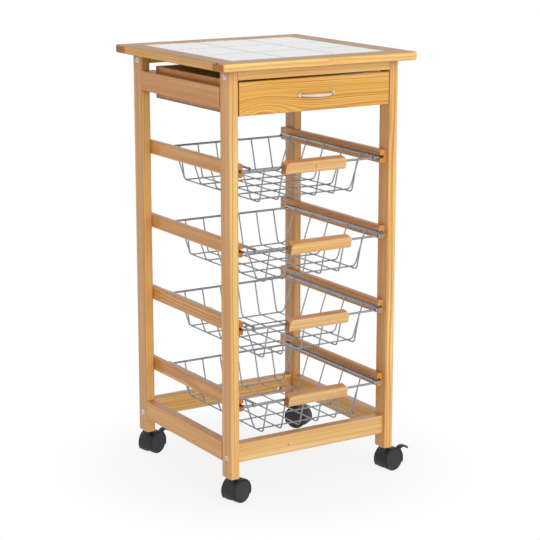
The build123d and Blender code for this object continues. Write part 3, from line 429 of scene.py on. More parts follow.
# Boards by kind: first what the kind shares, then each board's own cut of the log; the side tones and some
# board tones are painted shade
# Painted shade on the side faces of the posts, which get less light than their fronts
postShadedSides = {"Painted Side Shade": (0.95, 0.88, 0.9, 1.0)}
upright = {"along": "Z", "wide": "Y"}
lengthwise = {"along": "Y", "wide": "X"}
crosswise = {"along": "X", "wide": "Y"}
boardKinds = {
    "posts": [{**upright, "Contrast": 0.85}, {
        "left_front_post": {
            "Seed": 3.1, "Ring Gap": 0.0026, "Pith Side": 0.03, "Pith Depth": -0.055, "Honey": 0.25,
            "Wander": 0.0022, **postShadedSides,
        },
        "left_rear_post": {
            "Seed": 8.4, "Ring Gap": 0.0021, "Pith Side": -0.034, "Pith Depth": 0.04, "Honey": 0.45,
            # Painted shade: this post's side faces darker still
            "Painted Side Shade": (0.87, 0.8, 0.86, 1.0),
        },
        "right_front_post": {
            "Seed": 5.7, "Ring Gap": 0.003, "Pith Side": -0.02, "Pith Depth": -0.06, "Honey": 0.4,
            **postShadedSides,
        },
        "right_rear_post": {
            "Seed": 12.9, "Ring Gap": 0.0022, "Pith Side": 0.041, "Pith Depth": -0.03, "Honey": 0.4,
            # Painted shadow: the whole post darker, standing in for the drawer's shade on its upper part
            "Tone": (0.72, 0.67, 0.77, 1.0),
        },
    }],
    # Painted shade on the tops and undersides of the drawer rails
    "drawer rails": [{**lengthwise, "Contrast": 0.5, "Painted Side Shade": (0.85, 0.76, 0.74, 1.0)}, {
        "left_drawer_rail": {
            "Seed": 21.3, "Ring Gap": 0.0032, "Pith Side": 0.004, "Pith Depth": 0.045, "Honey": 0.6,
            # Painted shade: redder and darker, as for a left face that gets less light
            "Tone": (0.8, 0.64, 0.56, 1.0),
        },
        "right_drawer_rail": {
            "Seed": 24.3, "Ring Gap": 0.0026, "Pith Side": -0.012, "Pith Depth": 0.05, "Honey": 0.5,
            "Tone": (0.96, 0.904, 0.864, 1.0),
        },
    }],
    # Painted shade on the tops and undersides of the side bottom rails
    "side bottom rails": [{**lengthwise, "Contrast": 0.5, "Painted Side Shade": (0.76, 0.66, 0.66, 1.0)}, {
        "left_bottom_rail": {
            "Seed": 31.8, "Ring Gap": 0.0027, "Pith Side": 0.03, "Pith Depth": 0.034, "Honey": 0.45,
            "Tone": (0.95, 0.84, 0.76, 1.0),
        },
        "right_bottom_rail": {
            "Seed": 35.2, "Ring Gap": 0.0024, "Pith Side": -0.024, "Pith Depth": -0.036, "Honey": 0.45,
            "Tone": (0.96, 0.904, 0.864, 1.0),
        },
    }],
    "front and rear top rails": [{**crosswise, "Contrast": 0.5}, {
        "front_top_rail": {
            "Seed": 41.6, "Ring Gap": 0.0024, "Pith Side": 0.024, "Pith Depth": 0.038, "Honey": 0.3,
        },
        "rear_top_rail": {
            "Seed": 44.9, "Ring Gap": 0.0026, "Pith Side": 0.03, "Pith Depth": 0.03, "Honey": 0.4,
        },
    }],
    # Painted shade on the tops and undersides of the front and rear bottom rails
    "front and rear bottom rails": [{**crosswise, "Painted Side Shade": (0.76, 0.66, 0.66, 1.0)}, {
        "front_bottom_rail": {
            "Seed": 51.2, "Ring Gap": 0.0029, "Pith Side": -0.028, "Pith Depth": 0.03, "Honey": 0.35,
            "Contrast": 0.3, "Knot X": -0.047, "Knot Y": 0.0025, "Knot Size": 0.0013,
            "Tone": (0.93, 0.97, 1.15, 1.0),
        },
        "rear_bottom_rail": {
            "Seed": 55.7, "Ring Gap": 0.0027, "Pith Side": 0.026, "Pith Depth": 0.04, "Honey": 0.45,
            "Contrast": 0.5,
        },
    }],
    # Painted shade on the tops and undersides of the runners
    "runners": [{**lengthwise, "Honey": 0.45, "Row Pitch": 0.1297, "Painted Side Shade": (0.82, 0.72, 0.7, 1.0)}, {
        "left_basket_runners": {
            "Seed": 61.3, "Ring Gap": 0.0026, "Pith Side": 0.008, "Pith Depth": 0.045, "Contrast": 0.8,
            "Tone": (0.91, 0.79, 0.72, 1.0), "End Tone": (0.78, 0.56, 0.42, 1.0),
        },
        "right_basket_runners": {
            "Seed": 66.1, "Ring Gap": 0.0025, "Pith Side": -0.01, "Pith Depth": -0.04, "Contrast": 0.65,
            # Painted shade: darker and redder, as the inner faces of these runners lie in shade
            "Tone": (0.8, 0.63, 0.54, 1.0), "End Tone": (1.0, 1.0, 0.95, 1.0),
        },
    }],
    "worktop borders": [{
        # Painted shade and painted sheen: the tops and undersides of the borders darker and greyer
        "Contrast": 0.6, "Pith Depth": 0.03, "Painted Side Shade": (0.62, 0.55, 0.64, 1.0), "coat": 0.1, "shine": 0.3,
    }, {
        "worktop_front_border": {
            **crosswise, "Seed": 81.4, "Ring Gap": 0.0028, "Pith Side": 0.022, "Honey": 0.3,
            "Splice X": 0.014, "Chip": (-0.185, -0.0062, 0.0056), "Chip Size": 0.0028,
            "Tone": (1.06, 1.1, 1.1, 1.0),
        },
        "worktop_rear_border": {
            **crosswise, "Seed": 84.2, "Ring Gap": 0.0024, "Pith Side": -0.028, "Honey": 0.4,
        },
        "worktop_left_border": {
            **lengthwise, "Seed": 87.7, "Ring Gap": 0.0026, "Pith Side": 0.028, "Honey": 0.5,
            "Tone": (0.94, 0.86, 0.8, 1.0),
        },
        "worktop_right_border": {
            **lengthwise, "Seed": 89.9, "Ring Gap": 0.0026, "Pith Side": -0.03, "Honey": 0.5,
        },
    }],
    "drawer front": [crosswise, {
        "drawer_front": {
            "Seed": 91.5, "Ring Gap": 0.0024, "Pith Side": 0.038, "Pith Depth": 0.038, "Arch X": -0.1,
            "Arch Y": 0.028, "Arch Lift": 0.0105, "Arch Long": 0.05, "Arch Wide": 0.034, "Wander": 0.0026,
            "Honey": 1.0, "Contrast": 1.12, "Tone": (1.0, 1.0, 0.92, 1.0),
        },
    }],
    # Painted shade: the drawer sides darker and redder, as they lie in shade under the worktop
    "drawer sides and guides": [{**lengthwise, "Contrast": 0.65, "Tone": (0.8, 0.62, 0.53, 1.0)}, {
        "drawer_left_side": {
            "Seed": 95.5, "Ring Gap": 0.0027, "Pith Side": 0.022, "Pith Depth": 0.04, "Honey": 0.5,
        },
        "drawer_right_side": {
            "Seed": 97.5, "Ring Gap": 0.0025, "Pith Side": -0.02, "Pith Depth": 0.036, "Honey": 0.5,
        },
        "drawer_guides": {
            "Seed": 71.3, "Ring Gap": 0.0025, "Pith Side": 0.02, "Pith Depth": 0.03, "Honey": 0.45,
        },
    }],
    "drawer back": [crosswise, {
        "drawer_back": {
            "Seed": 99.1, "Ring Gap": 0.0026, "Pith Side": 0.03, "Pith Depth": 0.034, "Honey": 0.5,
            "Contrast": 0.65,
        },
    }],
    # Painted shade on the tops and undersides of the pulls
    "pulls": [{**crosswise, "Contrast": 0.4, "Painted Side Shade": (0.88, 0.72, 0.72, 1.0)}, {
        "basket_pull_1": {
            "Seed": 103.1, "Ring Gap": 0.003, "Pith Side": 0.045, "Pith Depth": 0.06, "Honey": 0.15,
            "Tone": (1.0, 0.98, 1.08, 1.0), "Knot X": -0.001, "Knot Y": 0.001, "Knot Size": 0.0012,
        },
        "basket_pull_2": {
            "Seed": 107.4, "Ring Gap": 0.0032, "Pith Side": -0.045, "Pith Depth": 0.045, "Honey": 0.3,
            "Tone": (1.0, 0.98, 1.08, 1.0),
        },
        "basket_pull_3": {
            "Seed": 111.8, "Ring Gap": 0.0028, "Pith Side": 0.04, "Pith Depth": 0.03, "Honey": 0.3,
            "Tone": (0.91, 0.88, 1.08, 1.0),
        },
        "basket_pull_4": {
            "Seed": 116.2, "Ring Gap": 0.003, "Pith Side": -0.04, "Pith Depth": 0.055, "Honey": 0.2,
            "Tone": (0.88, 0.83, 0.96, 1.0),
        },
    }],
}
pineOf = {}
for shared, boards in boardKinds.values():
    for nodeName, own in boards.items():
        low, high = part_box(nodeName)
        pineOf[nodeName] = timber("pine_" + nodeName, (low + high) / 2, **{**shared, **own})

zincWire = metal("zincWire", (0.36, 0.37, 0.39, 1.0), 0.18)
zincBolt = metal("zincBolt", (0.72, 0.75, 0.80, 1.0), 0.14)
plainSteel = metal("plainSteel", (0.38, 0.37, 0.36, 1.0), 0.35)
chromePlate = metal("chromePlate", (0.70, 0.71, 0.74, 1.0), 0.03, dark=0.95, bump=0.000004, spread=0.06)
casterBlack = plastic("casterBlack", (0.020, 0.019, 0.020, 1.0), (0.028, 0.027, 0.028, 1.0), 0.34)
wheelBlack = plastic("wheelBlack", (0.027, 0.026, 0.028, 1.0), (0.040, 0.038, 0.041, 1.0), 0.40)
whiteGlaze = glaze()
tileMortar = mortar()
brownBoard = hardboard()
dowelBeech = timber("dowelBeech", (0, 0, 0), "Y", "X", **{"Seed": 131.0, "Ring Gap": 0.002, "Honey": 0.1})
print("materials built:", len(bpy.data.materials))


def addToScene(piece):
    bpy.context.scene.collection.objects.link(piece)
    return piece


def finished(tempObject, name, material):
    # The evaluated result of an object's modifiers as a plain mesh on a new object
    graph = bpy.context.evaluated_depsgraph_get()
    mesh = bpy.data.meshes.new_from_object(tempObject.evaluated_get(graph), depsgraph=graph)
    mesh.name = name
    mesh.set_sharp_from_angle(angle=math.radians(42))
    mesh.materials.clear()
    mesh.materials.append(material)
    return addToScene(bpy.data.objects.new(name, mesh))


def declare(piece, body, slot, *replaced):
    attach(piece, body)
    if replaced:
        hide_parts(*replaced)


def runTree(tree, values, name, material):
    # Runs a Geometry Nodes tree on an empty mesh and keeps the result as a plain mesh
    temp = addToScene(bpy.data.objects.new(name + "Temp", bpy.data.meshes.new(name + "Temp")))
    modifier = temp.modifiers.new("nodes", "NODES")
    modifier.node_group = tree
    sockets = {item.name: item.identifier for item in tree.interface.items_tree if item.in_out == "INPUT"}
    for label, value in values.items():
        modifier[sockets[label]] = value
    piece = finished(temp, name, material)
    temp.modifiers.remove(modifier)
    bpy.data.objects.remove(temp)
    return piece


def joined(tree, *parts):
    join = put(tree, "GeometryNodeJoinGeometry")
    for part in parts:
        tree.links.new(part, join.inputs[0])
    return join.outputs[0]


def randomVector(tree, low, high, seed):
    inputs = {"Min": low, "Max": high, "Seed": seed}
    return put(tree, "FunctionNodeRandomValue", inputs, data_type="FLOAT_VECTOR").outputs[0]


def copiesOn(tree, points, instance, **inputs):
    inputs = {"Points": points, "Instance": instance, **inputs}
    return put(tree, "GeometryNodeInstanceOnPoints", inputs).outputs[0]


def realized(tree, instances):
    return put(tree, "GeometryNodeRealizeInstances", {0: instances}).outputs[0]


def moved(tree, geometry, x, y, z):
    inputs = {0: geometry, "Translation": combine(tree, x, y, z)}
    return put(tree, "GeometryNodeTransform", inputs).outputs[0]


def endTree(tree, instances, material, outs):
    # Every tree ends in plain geometry with its material
    inputs = {0: realized(tree, instances), "Material": material}
    painted = put(tree, "GeometryNodeSetMaterial", inputs)
    tree.links.new(painted.outputs[0], outs["Geometry"])
    return tree


# Wire basket: every size in metres, the middle of its front wire at the origin
basketSizes = {
    "Frame Wire": 0.004, "Basket Wire": 0.0025, "Half Width": 0.138, "Depth": 0.288, "Drop": 0.057,
    "Rim Inset": 0.0175, "Rim Rise": 0.0035, "Leg Offset": 0.00275, "Cross Lift": 0.002,
    "End Slope": 0.016, "Side Slope": 0.0205, "Bend": 0.008, "Frame Bend": 0.008, "Hook": 0.0035,
    "Long Pitch": 0.0363, "Cross Pitch": 0.0555, "Weld": 0.0017, "Unevenness": 0.00035,
}
basketCounts = {"Long Wires": 6, "Cross Wires": 5}
wireFineness = {"bendSteps": 7, "thinSides": 10, "thickSides": 12, "beadSegments": 8, "beadRings": 5}
basketSeeds = {"long": 3, "cross": 8, "rim": 1, "beadTurn": 5, "beadSize": 9}


def bentWire(tree, points, radius, closed=False):
    # A wire's centre line through its corner points, each corner bent round
    line = put(tree, "GeometryNodeMeshLine", {"Count": len(points)})
    curve = put(tree, "GeometryNodeMeshToCurve", {0: line.outputs[0]})
    chooser = put(tree, "GeometryNodeIndexSwitch", data_type="VECTOR")
    while len(chooser.index_switch_items) < len(points):
        chooser.index_switch_items.new()
    tree.links.new(put(tree, "GeometryNodeInputIndex").outputs[0], chooser.inputs[0])
    for number, point in enumerate(points):
        tree.links.new(combine(tree, *point), chooser.inputs[number + 1])
    inputs = {0: curve.outputs[0], "Position": chooser.outputs[0]}
    placed = put(tree, "GeometryNodeSetPosition", inputs).outputs[0]
    if closed:
        placed = put(tree, "GeometryNodeSetSplineCyclic", {0: placed, "Cyclic": True}).outputs[0]
    fillet = put(tree, "GeometryNodeFilletCurve", mode="POLY")
    tree.links.new(placed, fillet.inputs["Curve"])
    tree.links.new(radius, fillet.inputs["Radius"])
    fillet.inputs["Count"].default_value = wireFineness["bendSteps"]
    fillet.inputs["Limit Radius"].default_value = True
    return fillet.outputs[0]


def tube(tree, curve, thickness, sides):
    radius = times(tree, thickness, 0.5)
    ring = put(tree, "GeometryNodeCurvePrimitiveCircle", {"Resolution": sides, "Radius": radius}).outputs[0]
    inputs = {"Curve": curve, "Profile Curve": ring, "Fill Caps": True}
    made = put(tree, "GeometryNodeCurveToMesh", inputs).outputs[0]
    return put(tree, "GeometryNodeSetShadeSmooth", {0: made}).outputs[0]


def wireRow(tree, curve, wires, pitch, axis, middle, jitter, seed):
    # The wire repeated along x or y about a middle place, each a little out of line
    first = less(tree, middle, times(tree, times(tree, less(tree, wires, 1.0), pitch), 0.5))
    start = combine(tree, first, 0.0, 0.0) if axis == "x" else combine(tree, 0.0, first, 0.0)
    step = combine(tree, pitch, 0.0, 0.0) if axis == "x" else combine(tree, 0.0, pitch, 0.0)
    inputs = {"Count": wires, "Start Location": start, "Offset": step}
    line = put(tree, "GeometryNodeMeshLine", inputs).outputs[0]
    limit = combine(tree, jitter, jitter, 0.0)
    away = randomVector(tree, scaled(tree, limit, -1.0), limit, seed)
    inputs = {0: copiesOn(tree, line, curve), "Translation": away}
    return realized(tree, put(tree, "GeometryNodeTranslateInstances", inputs).outputs[0])


def beadGrid(tree, sizeX, sizeY, countX, countY, y, z):
    inputs = {"Size X": sizeX, "Size Y": sizeY, "Vertices X": countX, "Vertices Y": countY}
    return moved(tree, put(tree, "GeometryNodeMeshGrid", inputs).outputs[0], 0.0, y, z)


def weldBeads(tree, ins, rimX, floorZ, middleY):
    # A small bead of weld wherever two wires cross: floor, ends, sides and the frame's corners
    depth, rimRise, thin = ins["Depth"], ins["Rim Rise"], ins["Basket Wire"]
    countX, countY = ins["Long Wires"], ins["Cross Wires"]
    spanX = times(tree, less(tree, countX, 1.0), ins["Long Pitch"])
    spanY = times(tree, less(tree, countY, 1.0), ins["Cross Pitch"])
    inner = less(tree, ins["Leg Offset"], times(tree, thin, 0.35))
    floorBeads = plus(tree, floorZ, times(tree, ins["Cross Lift"], 0.5))
    endSpan = less(tree, depth, times(tree, inner, 2.0))
    sideSpan = times(tree, less(tree, rimX, inner), 2.0)
    cornerSpan = plus(tree, depth, ins["Hook"])
    beads = joined(
        tree,
        beadGrid(tree, spanX, spanY, countX, countY, middleY, floorBeads),
        beadGrid(tree, spanX, endSpan, countX, 2, middleY, 0.0),
        beadGrid(tree, sideSpan, spanY, 2, countY, middleY, rimRise),
        beadGrid(tree, times(tree, rimX, 2.0), cornerSpan, 2, 2, middleY, times(tree, rimRise, 0.5)),
    )
    bead = put(tree, "GeometryNodeMeshUVSphere", {
        "Segments": wireFineness["beadSegments"], "Rings": wireFineness["beadRings"], "Radius": ins["Weld"],
    }).outputs[0]
    turn = randomVector(tree, (0.0, 0.0, 0.0), (0.5, 0.5, 3.1), basketSeeds["beadTurn"])
    size = randomVector(tree, (0.75, 0.75, 0.7), (1.1, 1.0, 0.95), basketSeeds["beadSize"])
    welds = realized(tree, copiesOn(tree, beads, bead, Rotation=turn, Scale=size))
    return put(tree, "GeometryNodeSetShadeSmooth", {0: welds}).outputs[0]


def buildBasketTree():
    inputs = [("Geometry", shape, None)]
    inputs += [(name, real, value) for name, value in basketSizes.items()]
    inputs += [(name, count, value) for name, value in basketCounts.items()]
    inputs.append(("Steel", stuff, None))
    tree, ins, outs = newGroup("wireBasket", inputs, [("Geometry", shape)], "GeometryNodeTree")

    def minus(value):
        return times(tree, value, -1.0)

    half, depth, offset, hook, rimRise = (ins[name] for name in (
        "Half Width", "Depth", "Leg Offset", "Hook", "Rim Rise"))
    floorZ = minus(ins["Drop"])
    legTop = times(tree, ins["Basket Wire"], 0.5)
    rimX = less(tree, half, ins["Rim Inset"])
    crossTopX = less(tree, rimX, offset)
    crossFootX = less(tree, crossTopX, ins["Side Slope"])
    crossZ = plus(tree, floorZ, ins["Cross Lift"])
    rimTop = plus(tree, rimRise, legTop)
    footY = plus(tree, offset, ins["End Slope"])
    farFootY, farTopY = less(tree, depth, footY), less(tree, depth, offset)
    middleY = times(tree, depth, 0.5)
    hookFrontY, hookBackY = minus(hook), plus(tree, depth, hook)
    tip = times(tree, ins["Frame Wire"], -0.5)
    longWire = bentWire(tree, [
        (0.0, offset, legTop), (0.0, footY, floorZ), (0.0, farFootY, floorZ), (0.0, farTopY, legTop),
    ], ins["Bend"])
    crossWire = bentWire(tree, [
        (minus(crossTopX), 0.0, rimTop), (minus(crossFootX), 0.0, crossZ),
        (crossFootX, 0.0, crossZ), (crossTopX, 0.0, rimTop),
    ], ins["Bend"])
    frameWire = bentWire(tree, [
        (minus(half), 0.0, 0.0), (half, 0.0, 0.0), (half, depth, 0.0), (minus(half), depth, 0.0),
    ], ins["Frame Bend"], closed=True)
    rimWire = bentWire(tree, [
        (0.0, hookFrontY, tip), (0.0, hookFrontY, rimRise), (0.0, hookBackY, rimRise), (0.0, hookBackY, tip),
    ], hook)
    jitter = ins["Unevenness"]
    longCount, crossCount = ins["Long Wires"], ins["Cross Wires"]
    longPitch, crossPitch = ins["Long Pitch"], ins["Cross Pitch"]
    thin = joined(
        tree,
        wireRow(tree, longWire, longCount, longPitch, "x", 0.0, jitter, basketSeeds["long"]),
        wireRow(tree, crossWire, crossCount, crossPitch, "y", middleY, jitter, basketSeeds["cross"]),
    )
    rims = wireRow(tree, rimWire, 2, times(tree, rimX, 2.0), "x", 0.0, 0.0, basketSeeds["rim"])
    thick = joined(tree, frameWire, rims)
    basket = joined(
        tree,
        tube(tree, thin, ins["Basket Wire"], wireFineness["thinSides"]),
        tube(tree, thick, ins["Frame Wire"], wireFineness["thickSides"]),
        weldBeads(tree, ins, rimX, floorZ, middleY),
    )
    return endTree(tree, basket, ins["Steel"], outs)


wireValues = {**basketSizes, **basketCounts, "Steel": zincWire}
firstBasket = runTree(buildBasketTree(), wireValues, "basketWires", zincWire)
frontHook = basketSizes["Depth"] / 2
rimHigh = basketSizes["Rim Rise"] + basketSizes["Frame Wire"] / 2
for number in range(1, 5):
    low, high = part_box(f"basket_{number}")
    mesh = firstBasket.data.copy()
    mesh.transform(Matrix.Translation((0, (low.y + high.y) / 2 - frontHook, high.z - rimHigh)))
    piece = addToScene(bpy.data.objects.new(f"basketWires{number}", mesh))
    declare(piece, f"basket_{number}", "zinc_wire", f"basket_{number}")
bpy.data.objects.remove(firstBasket)
print("baskets built")


def quarterTurn(steps, first=0):
    # Sine and cosine at each step of a quarter turn, for rounding a profile
    angles = [math.pi / 2 * step / steps for step in range(first, steps + 1)]
    return [(math.sin(angle), math.cos(angle)) for angle in angles]


def bridge(bm, rings):
    # Faces between neighbouring rings; a ring of one point closes the shape
    for near, far in zip(rings, rings[1:]):
        steps = max(len(near), len(far))
        for step in range(steps):
            after = (step + 1) % steps
            face = [near[step % len(near)], near[after % len(near)]]
            face += [far[after % len(far)], far[step % len(far)]]
            kept = [vert for number, vert in enumerate(face) if vert not in face[:number]]
            if len(kept) > 2:
                bm.faces.new(kept)


def lathe(bm, profile, segments, place):
    # A profile of (radius, y) turned about the local y axis; place puts it in the frame
    rings = []
    for radius, y in profile:
        ring = []
        for step in range(segments if radius > 0 else 1):
            angle = 2 * math.pi * step / segments
            point = Vector((radius * math.cos(angle), y, radius * math.sin(angle)))
            ring.append(bm.verts.new(place @ point))
        rings.append(ring)
    bridge(bm, rings)


def fromBmesh(bm, name, material, smoothAngle):
    bmesh.ops.remove_doubles(bm, verts=bm.verts, dist=1e-7)
    bmesh.ops.recalc_face_normals(bm, faces=bm.faces)
    mesh = bpy.data.meshes.new(name)
    bm.to_mesh(mesh)
    bm.free()
    mesh.shade_smooth()
    mesh.set_sharp_from_angle(angle=math.radians(smoothAngle))
    mesh.materials.append(material)
    return addToScene(bpy.data.objects.new(name, mesh))


wheelSizes = {
    "radius": 0.0195, "inY": 0.0055, "outY": 0.0155, "bore": 0.00255, "boreDeep": 0.001, "edge": 0.0012,
    "shoulder": 0.0021, "rim": 0.0027, "rimSoft": 0.0003, "rimTop": 0.00005, "rimSide": 0.0002,
    "dish": 0.0006, "dome": 0.0003, "segments": 72,
}


def wheelProfile():
    # A crowned tread, a raised rim and a faintly domed disc
    size = wheelSizes
    outer, inY, outY, edge = size["radius"], size["inY"], size["outY"], size["edge"]
    profile = [(size["bore"], inY + size["boreDeep"]), (size["bore"], inY), (outer - edge, inY)]
    for sine, cosine in quarterTurn(5, 1):
        profile.append((outer - edge + edge * sine, inY + edge - edge * cosine))
    profile.append((outer, (inY + outY) / 2))
    edge = size["shoulder"]
    for sine, cosine in quarterTurn(7):
        profile.append((outer - edge + edge * cosine, outY - edge + edge * sine))
    rimIn, soft, disc = outer - size["rim"], size["rimSoft"], outY - size["dish"]
    profile += [(rimIn + soft, outY - size["rimTop"]), (rimIn, outY - size["rimSide"]), (rimIn - soft, disc)]
    for step in range(1, 9):
        share = step / 8
        profile.append(((rimIn - soft) * (1 - share), disc + size["dome"] * (1 - (1 - share) ** 2)))
    return profile


def buildWheels(corner):
    # Two wheels on one axle, turned to the caster's own heading
    joint = next(j for j in frame["joints"] if j["name"] == f"{corner}_wheel_spin")
    across = Vector(joint["axis"]).normalized()
    up = Vector((0, 0, 1))
    turn = Matrix((up.cross(across) * -1, across, up)).transposed().to_4x4()
    place = Matrix.Translation(joint["pos_m"]) @ turn
    bm = bmesh.new()
    for side in (1, -1):
        mirrored = [(radius, side * y) for radius, y in wheelProfile()]
        lathe(bm, mirrored, wheelSizes["segments"], place)
    piece = fromBmesh(bm, f"{corner}_twinWheels", wheelBlack, 35.0)
    declare(piece, f"{corner}_wheels", "black_plastic", f"{corner}_caster_wheels")


for corner in casterCorners:
    buildWheels(corner)
print("wheels built")

tileSizes = {
    "size": 0.098, "thickness": 0.0056, "corner": 0.0011, "lip": 0.0011, "lipShare": 0.8, "crown": 0.00012,
    "insets": (0.006, 0.014, 0.025, 0.037), "twist": 0.004,
}
tileField = {"Columns": 3, "Rows": 3, "Pitch": 0.1, "Top": 0.7336, "Tilt": 0.0006}


def buildOneTile():
    # A pressed tile from rounded squares, one inside the next: rolled top edge and faint crown
    size = tileSizes
    half, lip, bend = size["size"] / 2, size["lip"], size["corner"]
    steps = [(0.0, -size["thickness"]), (0.0, -lip)]
    for sine, cosine in quarterTurn(6, 1):
        steps.append((lip * (1 - cosine), -lip + lip * sine * size["lipShare"]))
    for inset in size["insets"]:
        steps.append((inset, -lip * (1 - size["lipShare"])))
    bm = bmesh.new()
    loops = []
    for inset, z in steps:
        reach = half - inset
        curve = min(bend + inset * 0.6, reach * 0.8)
        away = min(1.0, reach / half)
        rise = size["crown"] * (1 - away * away) if inset > lip else 0.0
        loop = []
        for corner in range(4):
            cornerX = (reach - curve) * (1 if corner in (0, 3) else -1)
            cornerY = (reach - curve) * (1 if corner in (0, 1) else -1)
            for part in range(6):
                angle = math.pi / 2 * corner + math.pi / 2 * part / 5
                x, y = cornerX + curve * math.cos(angle), cornerY + curve * math.sin(angle)
                loop.append(bm.verts.new((x, y, z + rise)))
        loops.append(loop)
    bridge(bm, loops)
    bm.faces.new(loops[-1])
    bm.faces.new(list(reversed(loops[0])))
    return fromBmesh(bm, "oneTile", whiteGlaze, 60.0)


def buildTileTree():
    tree, ins, outs = newGroup("tileField", [
        ("Geometry", shape, None), ("Columns", count, 3), ("Rows", count, 3),
        ("Pitch", real, 0.1), ("Top", real, 0.7336), ("Tilt", real, 0.001),
        ("Tile", thing, None), ("Glaze", stuff, None),
    ], [("Geometry", shape)], "GeometryNodeTree")
    spanX, spanY = (times(tree, less(tree, ins[name], 1.0), ins["Pitch"]) for name in ("Columns", "Rows"))
    grid = put(tree, "GeometryNodeMeshGrid", {
        "Size X": spanX, "Size Y": spanY, "Vertices X": ins["Columns"], "Vertices Y": ins["Rows"],
    }).outputs[0]
    raised = moved(tree, grid, 0.0, 0.0, ins["Top"])
    one = put(tree, "GeometryNodeObjectInfo", {"Object": ins["Tile"]}).outputs["Geometry"]
    limit = combine(tree, ins["Tilt"], ins["Tilt"], tileSizes["twist"])
    lean = randomVector(tree, scaled(tree, limit, -1.0), limit, 4)
    return endTree(tree, copiesOn(tree, raised, one, Rotation=lean), ins["Glaze"], outs)


oneTile = buildOneTile()
tileValues = {**tileField, "Tile": oneTile, "Glaze": whiteGlaze}
laidTiles = runTree(buildTileTree(), tileValues, "laidTiles", whiteGlaze)
declare(laidTiles, "frame", "white_tile", "tiles")
bpy.data.objects.remove(oneTile)
print("tiles laid")


def weldedCopy(nodeName):
    # A CAD node's mesh is loose triangles, so a copy is merged before it is worked on
    mesh = nodes[nodeName].data.copy()
    bm = bmesh.new()
    bm.from_mesh(mesh)
    bmesh.ops.remove_doubles(bm, verts=bm.verts, dist=2e-6)
    return mesh, bm


groutSizes = {"rise": 0.00035, "topBand": 0.0001}


def raiseGrout():
    # The grout bed, brought up to the rolled edges of the tiles as a trowel leaves it
    mesh, bm = weldedCopy("tile_grout")
    mesh.name = "trowelledGrout"
    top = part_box("tile_grout")[1].z
    for vert in bm.verts:
        if vert.co.z > top - groutSizes["topBand"]:
            vert.co.z += groutSizes["rise"]
    bmesh.ops.recalc_face_normals(bm, faces=bm.faces)
    bm.to_mesh(mesh)
    bm.free()
    mesh.materials.clear()
    mesh.materials.append(tileMortar)
    return addToScene(bpy.data.objects.new("trowelledGrout", mesh))


declare(raiseGrout(), "frame", "grout", "tile_grout")
print("grout raised")

softEdges = {
    "hood": 0.00035, "lever": 0.0005, "segments": 3,
    "flatAngle": 0.6, "bevelAngle": 35.0, "sharpAngle": 38.0,
}


def softenedCopy(nodeName, name, material, width):
    # A CAD node's mesh, welded and with its edges rounded over
    mesh, bm = weldedCopy(nodeName)
    flat = math.radians(softEdges["flatAngle"])
    bmesh.ops.dissolve_limit(bm, angle_limit=flat, verts=bm.verts, edges=bm.edges)
    bm.to_mesh(mesh)
    bm.free()
    temp = addToScene(bpy.data.objects.new(name + "Temp", mesh))
    bevel = temp.modifiers.new("soften", "BEVEL")
    bevel.width = width
    bevel.segments = softEdges["segments"]
    bevel.limit_method = "ANGLE"
    bevel.angle_limit = math.radians(softEdges["bevelAngle"])
    bevel.use_clamp_overlap = True
    piece = finished(temp, name, material)
    piece.data.shade_smooth()
    piece.data.set_sharp_from_angle(angle=math.radians(softEdges["sharpAngle"]))
    bpy.data.objects.remove(temp)
    return piece


for corner in casterCorners:
    hood = softenedCopy(f"{corner}_caster_hood", f"{corner}_softHood", casterBlack, softEdges["hood"])
    declare(hood, f"{corner}_caster", "black_plastic", f"{corner}_caster_hood")
    if f"{corner}_brake_lever" in nodes:
        lever = softenedCopy(f"{corner}_brake_lever", f"{corner}_softLever", casterBlack, softEdges["lever"])
        declare(lever, f"{corner}_brake", "black_plastic", f"{corner}_brake_lever")
print("hoods and levers rounded over")

boltSizes = {
    "head": 0.0047, "proud": 0.0005, "tall": 0.0055, "roll": 0.0011, "shank": 0.003, "length": 0.05,
    "socket": 0.002, "deep": 0.0027, "chamferDeep": 0.0003, "chamferWide": 0.0006, "segments": 48,
}


def buildOneBolt():
    # Socket-head bolt along x, its face at the right; the origin lies in the wood's face
    size = boltSizes
    roll, head, proud, socket = size["roll"], size["head"], size["proud"], size["socket"]
    sixSided = [(0.0, proud - size["deep"]), (socket, proud - size["deep"])]
    sixSided.append((socket, proud - size["chamferDeep"]))
    under = proud - size["tall"]
    tip = under - size["length"]
    turned = [(socket + size["chamferWide"], proud)]
    turned += [(head - roll + roll * sine, proud - roll + roll * cosine) for sine, cosine in quarterTurn(6)]
    turned += [(head, under), (size["shank"], under), (size["shank"], tip), (0.0, tip)]
    bm = bmesh.new()
    rings = []
    for number, (radius, x) in enumerate(sixSided + turned):
        ring = []
        for step in range(size["segments"] if radius > 0 else 1):
            angle = 2 * math.pi * step / size["segments"]
            reach = radius
            if number < len(sixSided):
                reach = radius / math.cos((angle + math.pi / 6) % (math.pi / 3) - math.pi / 6)
            ring.append(bm.verts.new((x, reach * math.cos(angle), reach * math.sin(angle))))
        rings.append(ring)
    bridge(bm, rings)
    return fromBmesh(bm, "oneBolt", zincBolt, 30.0)


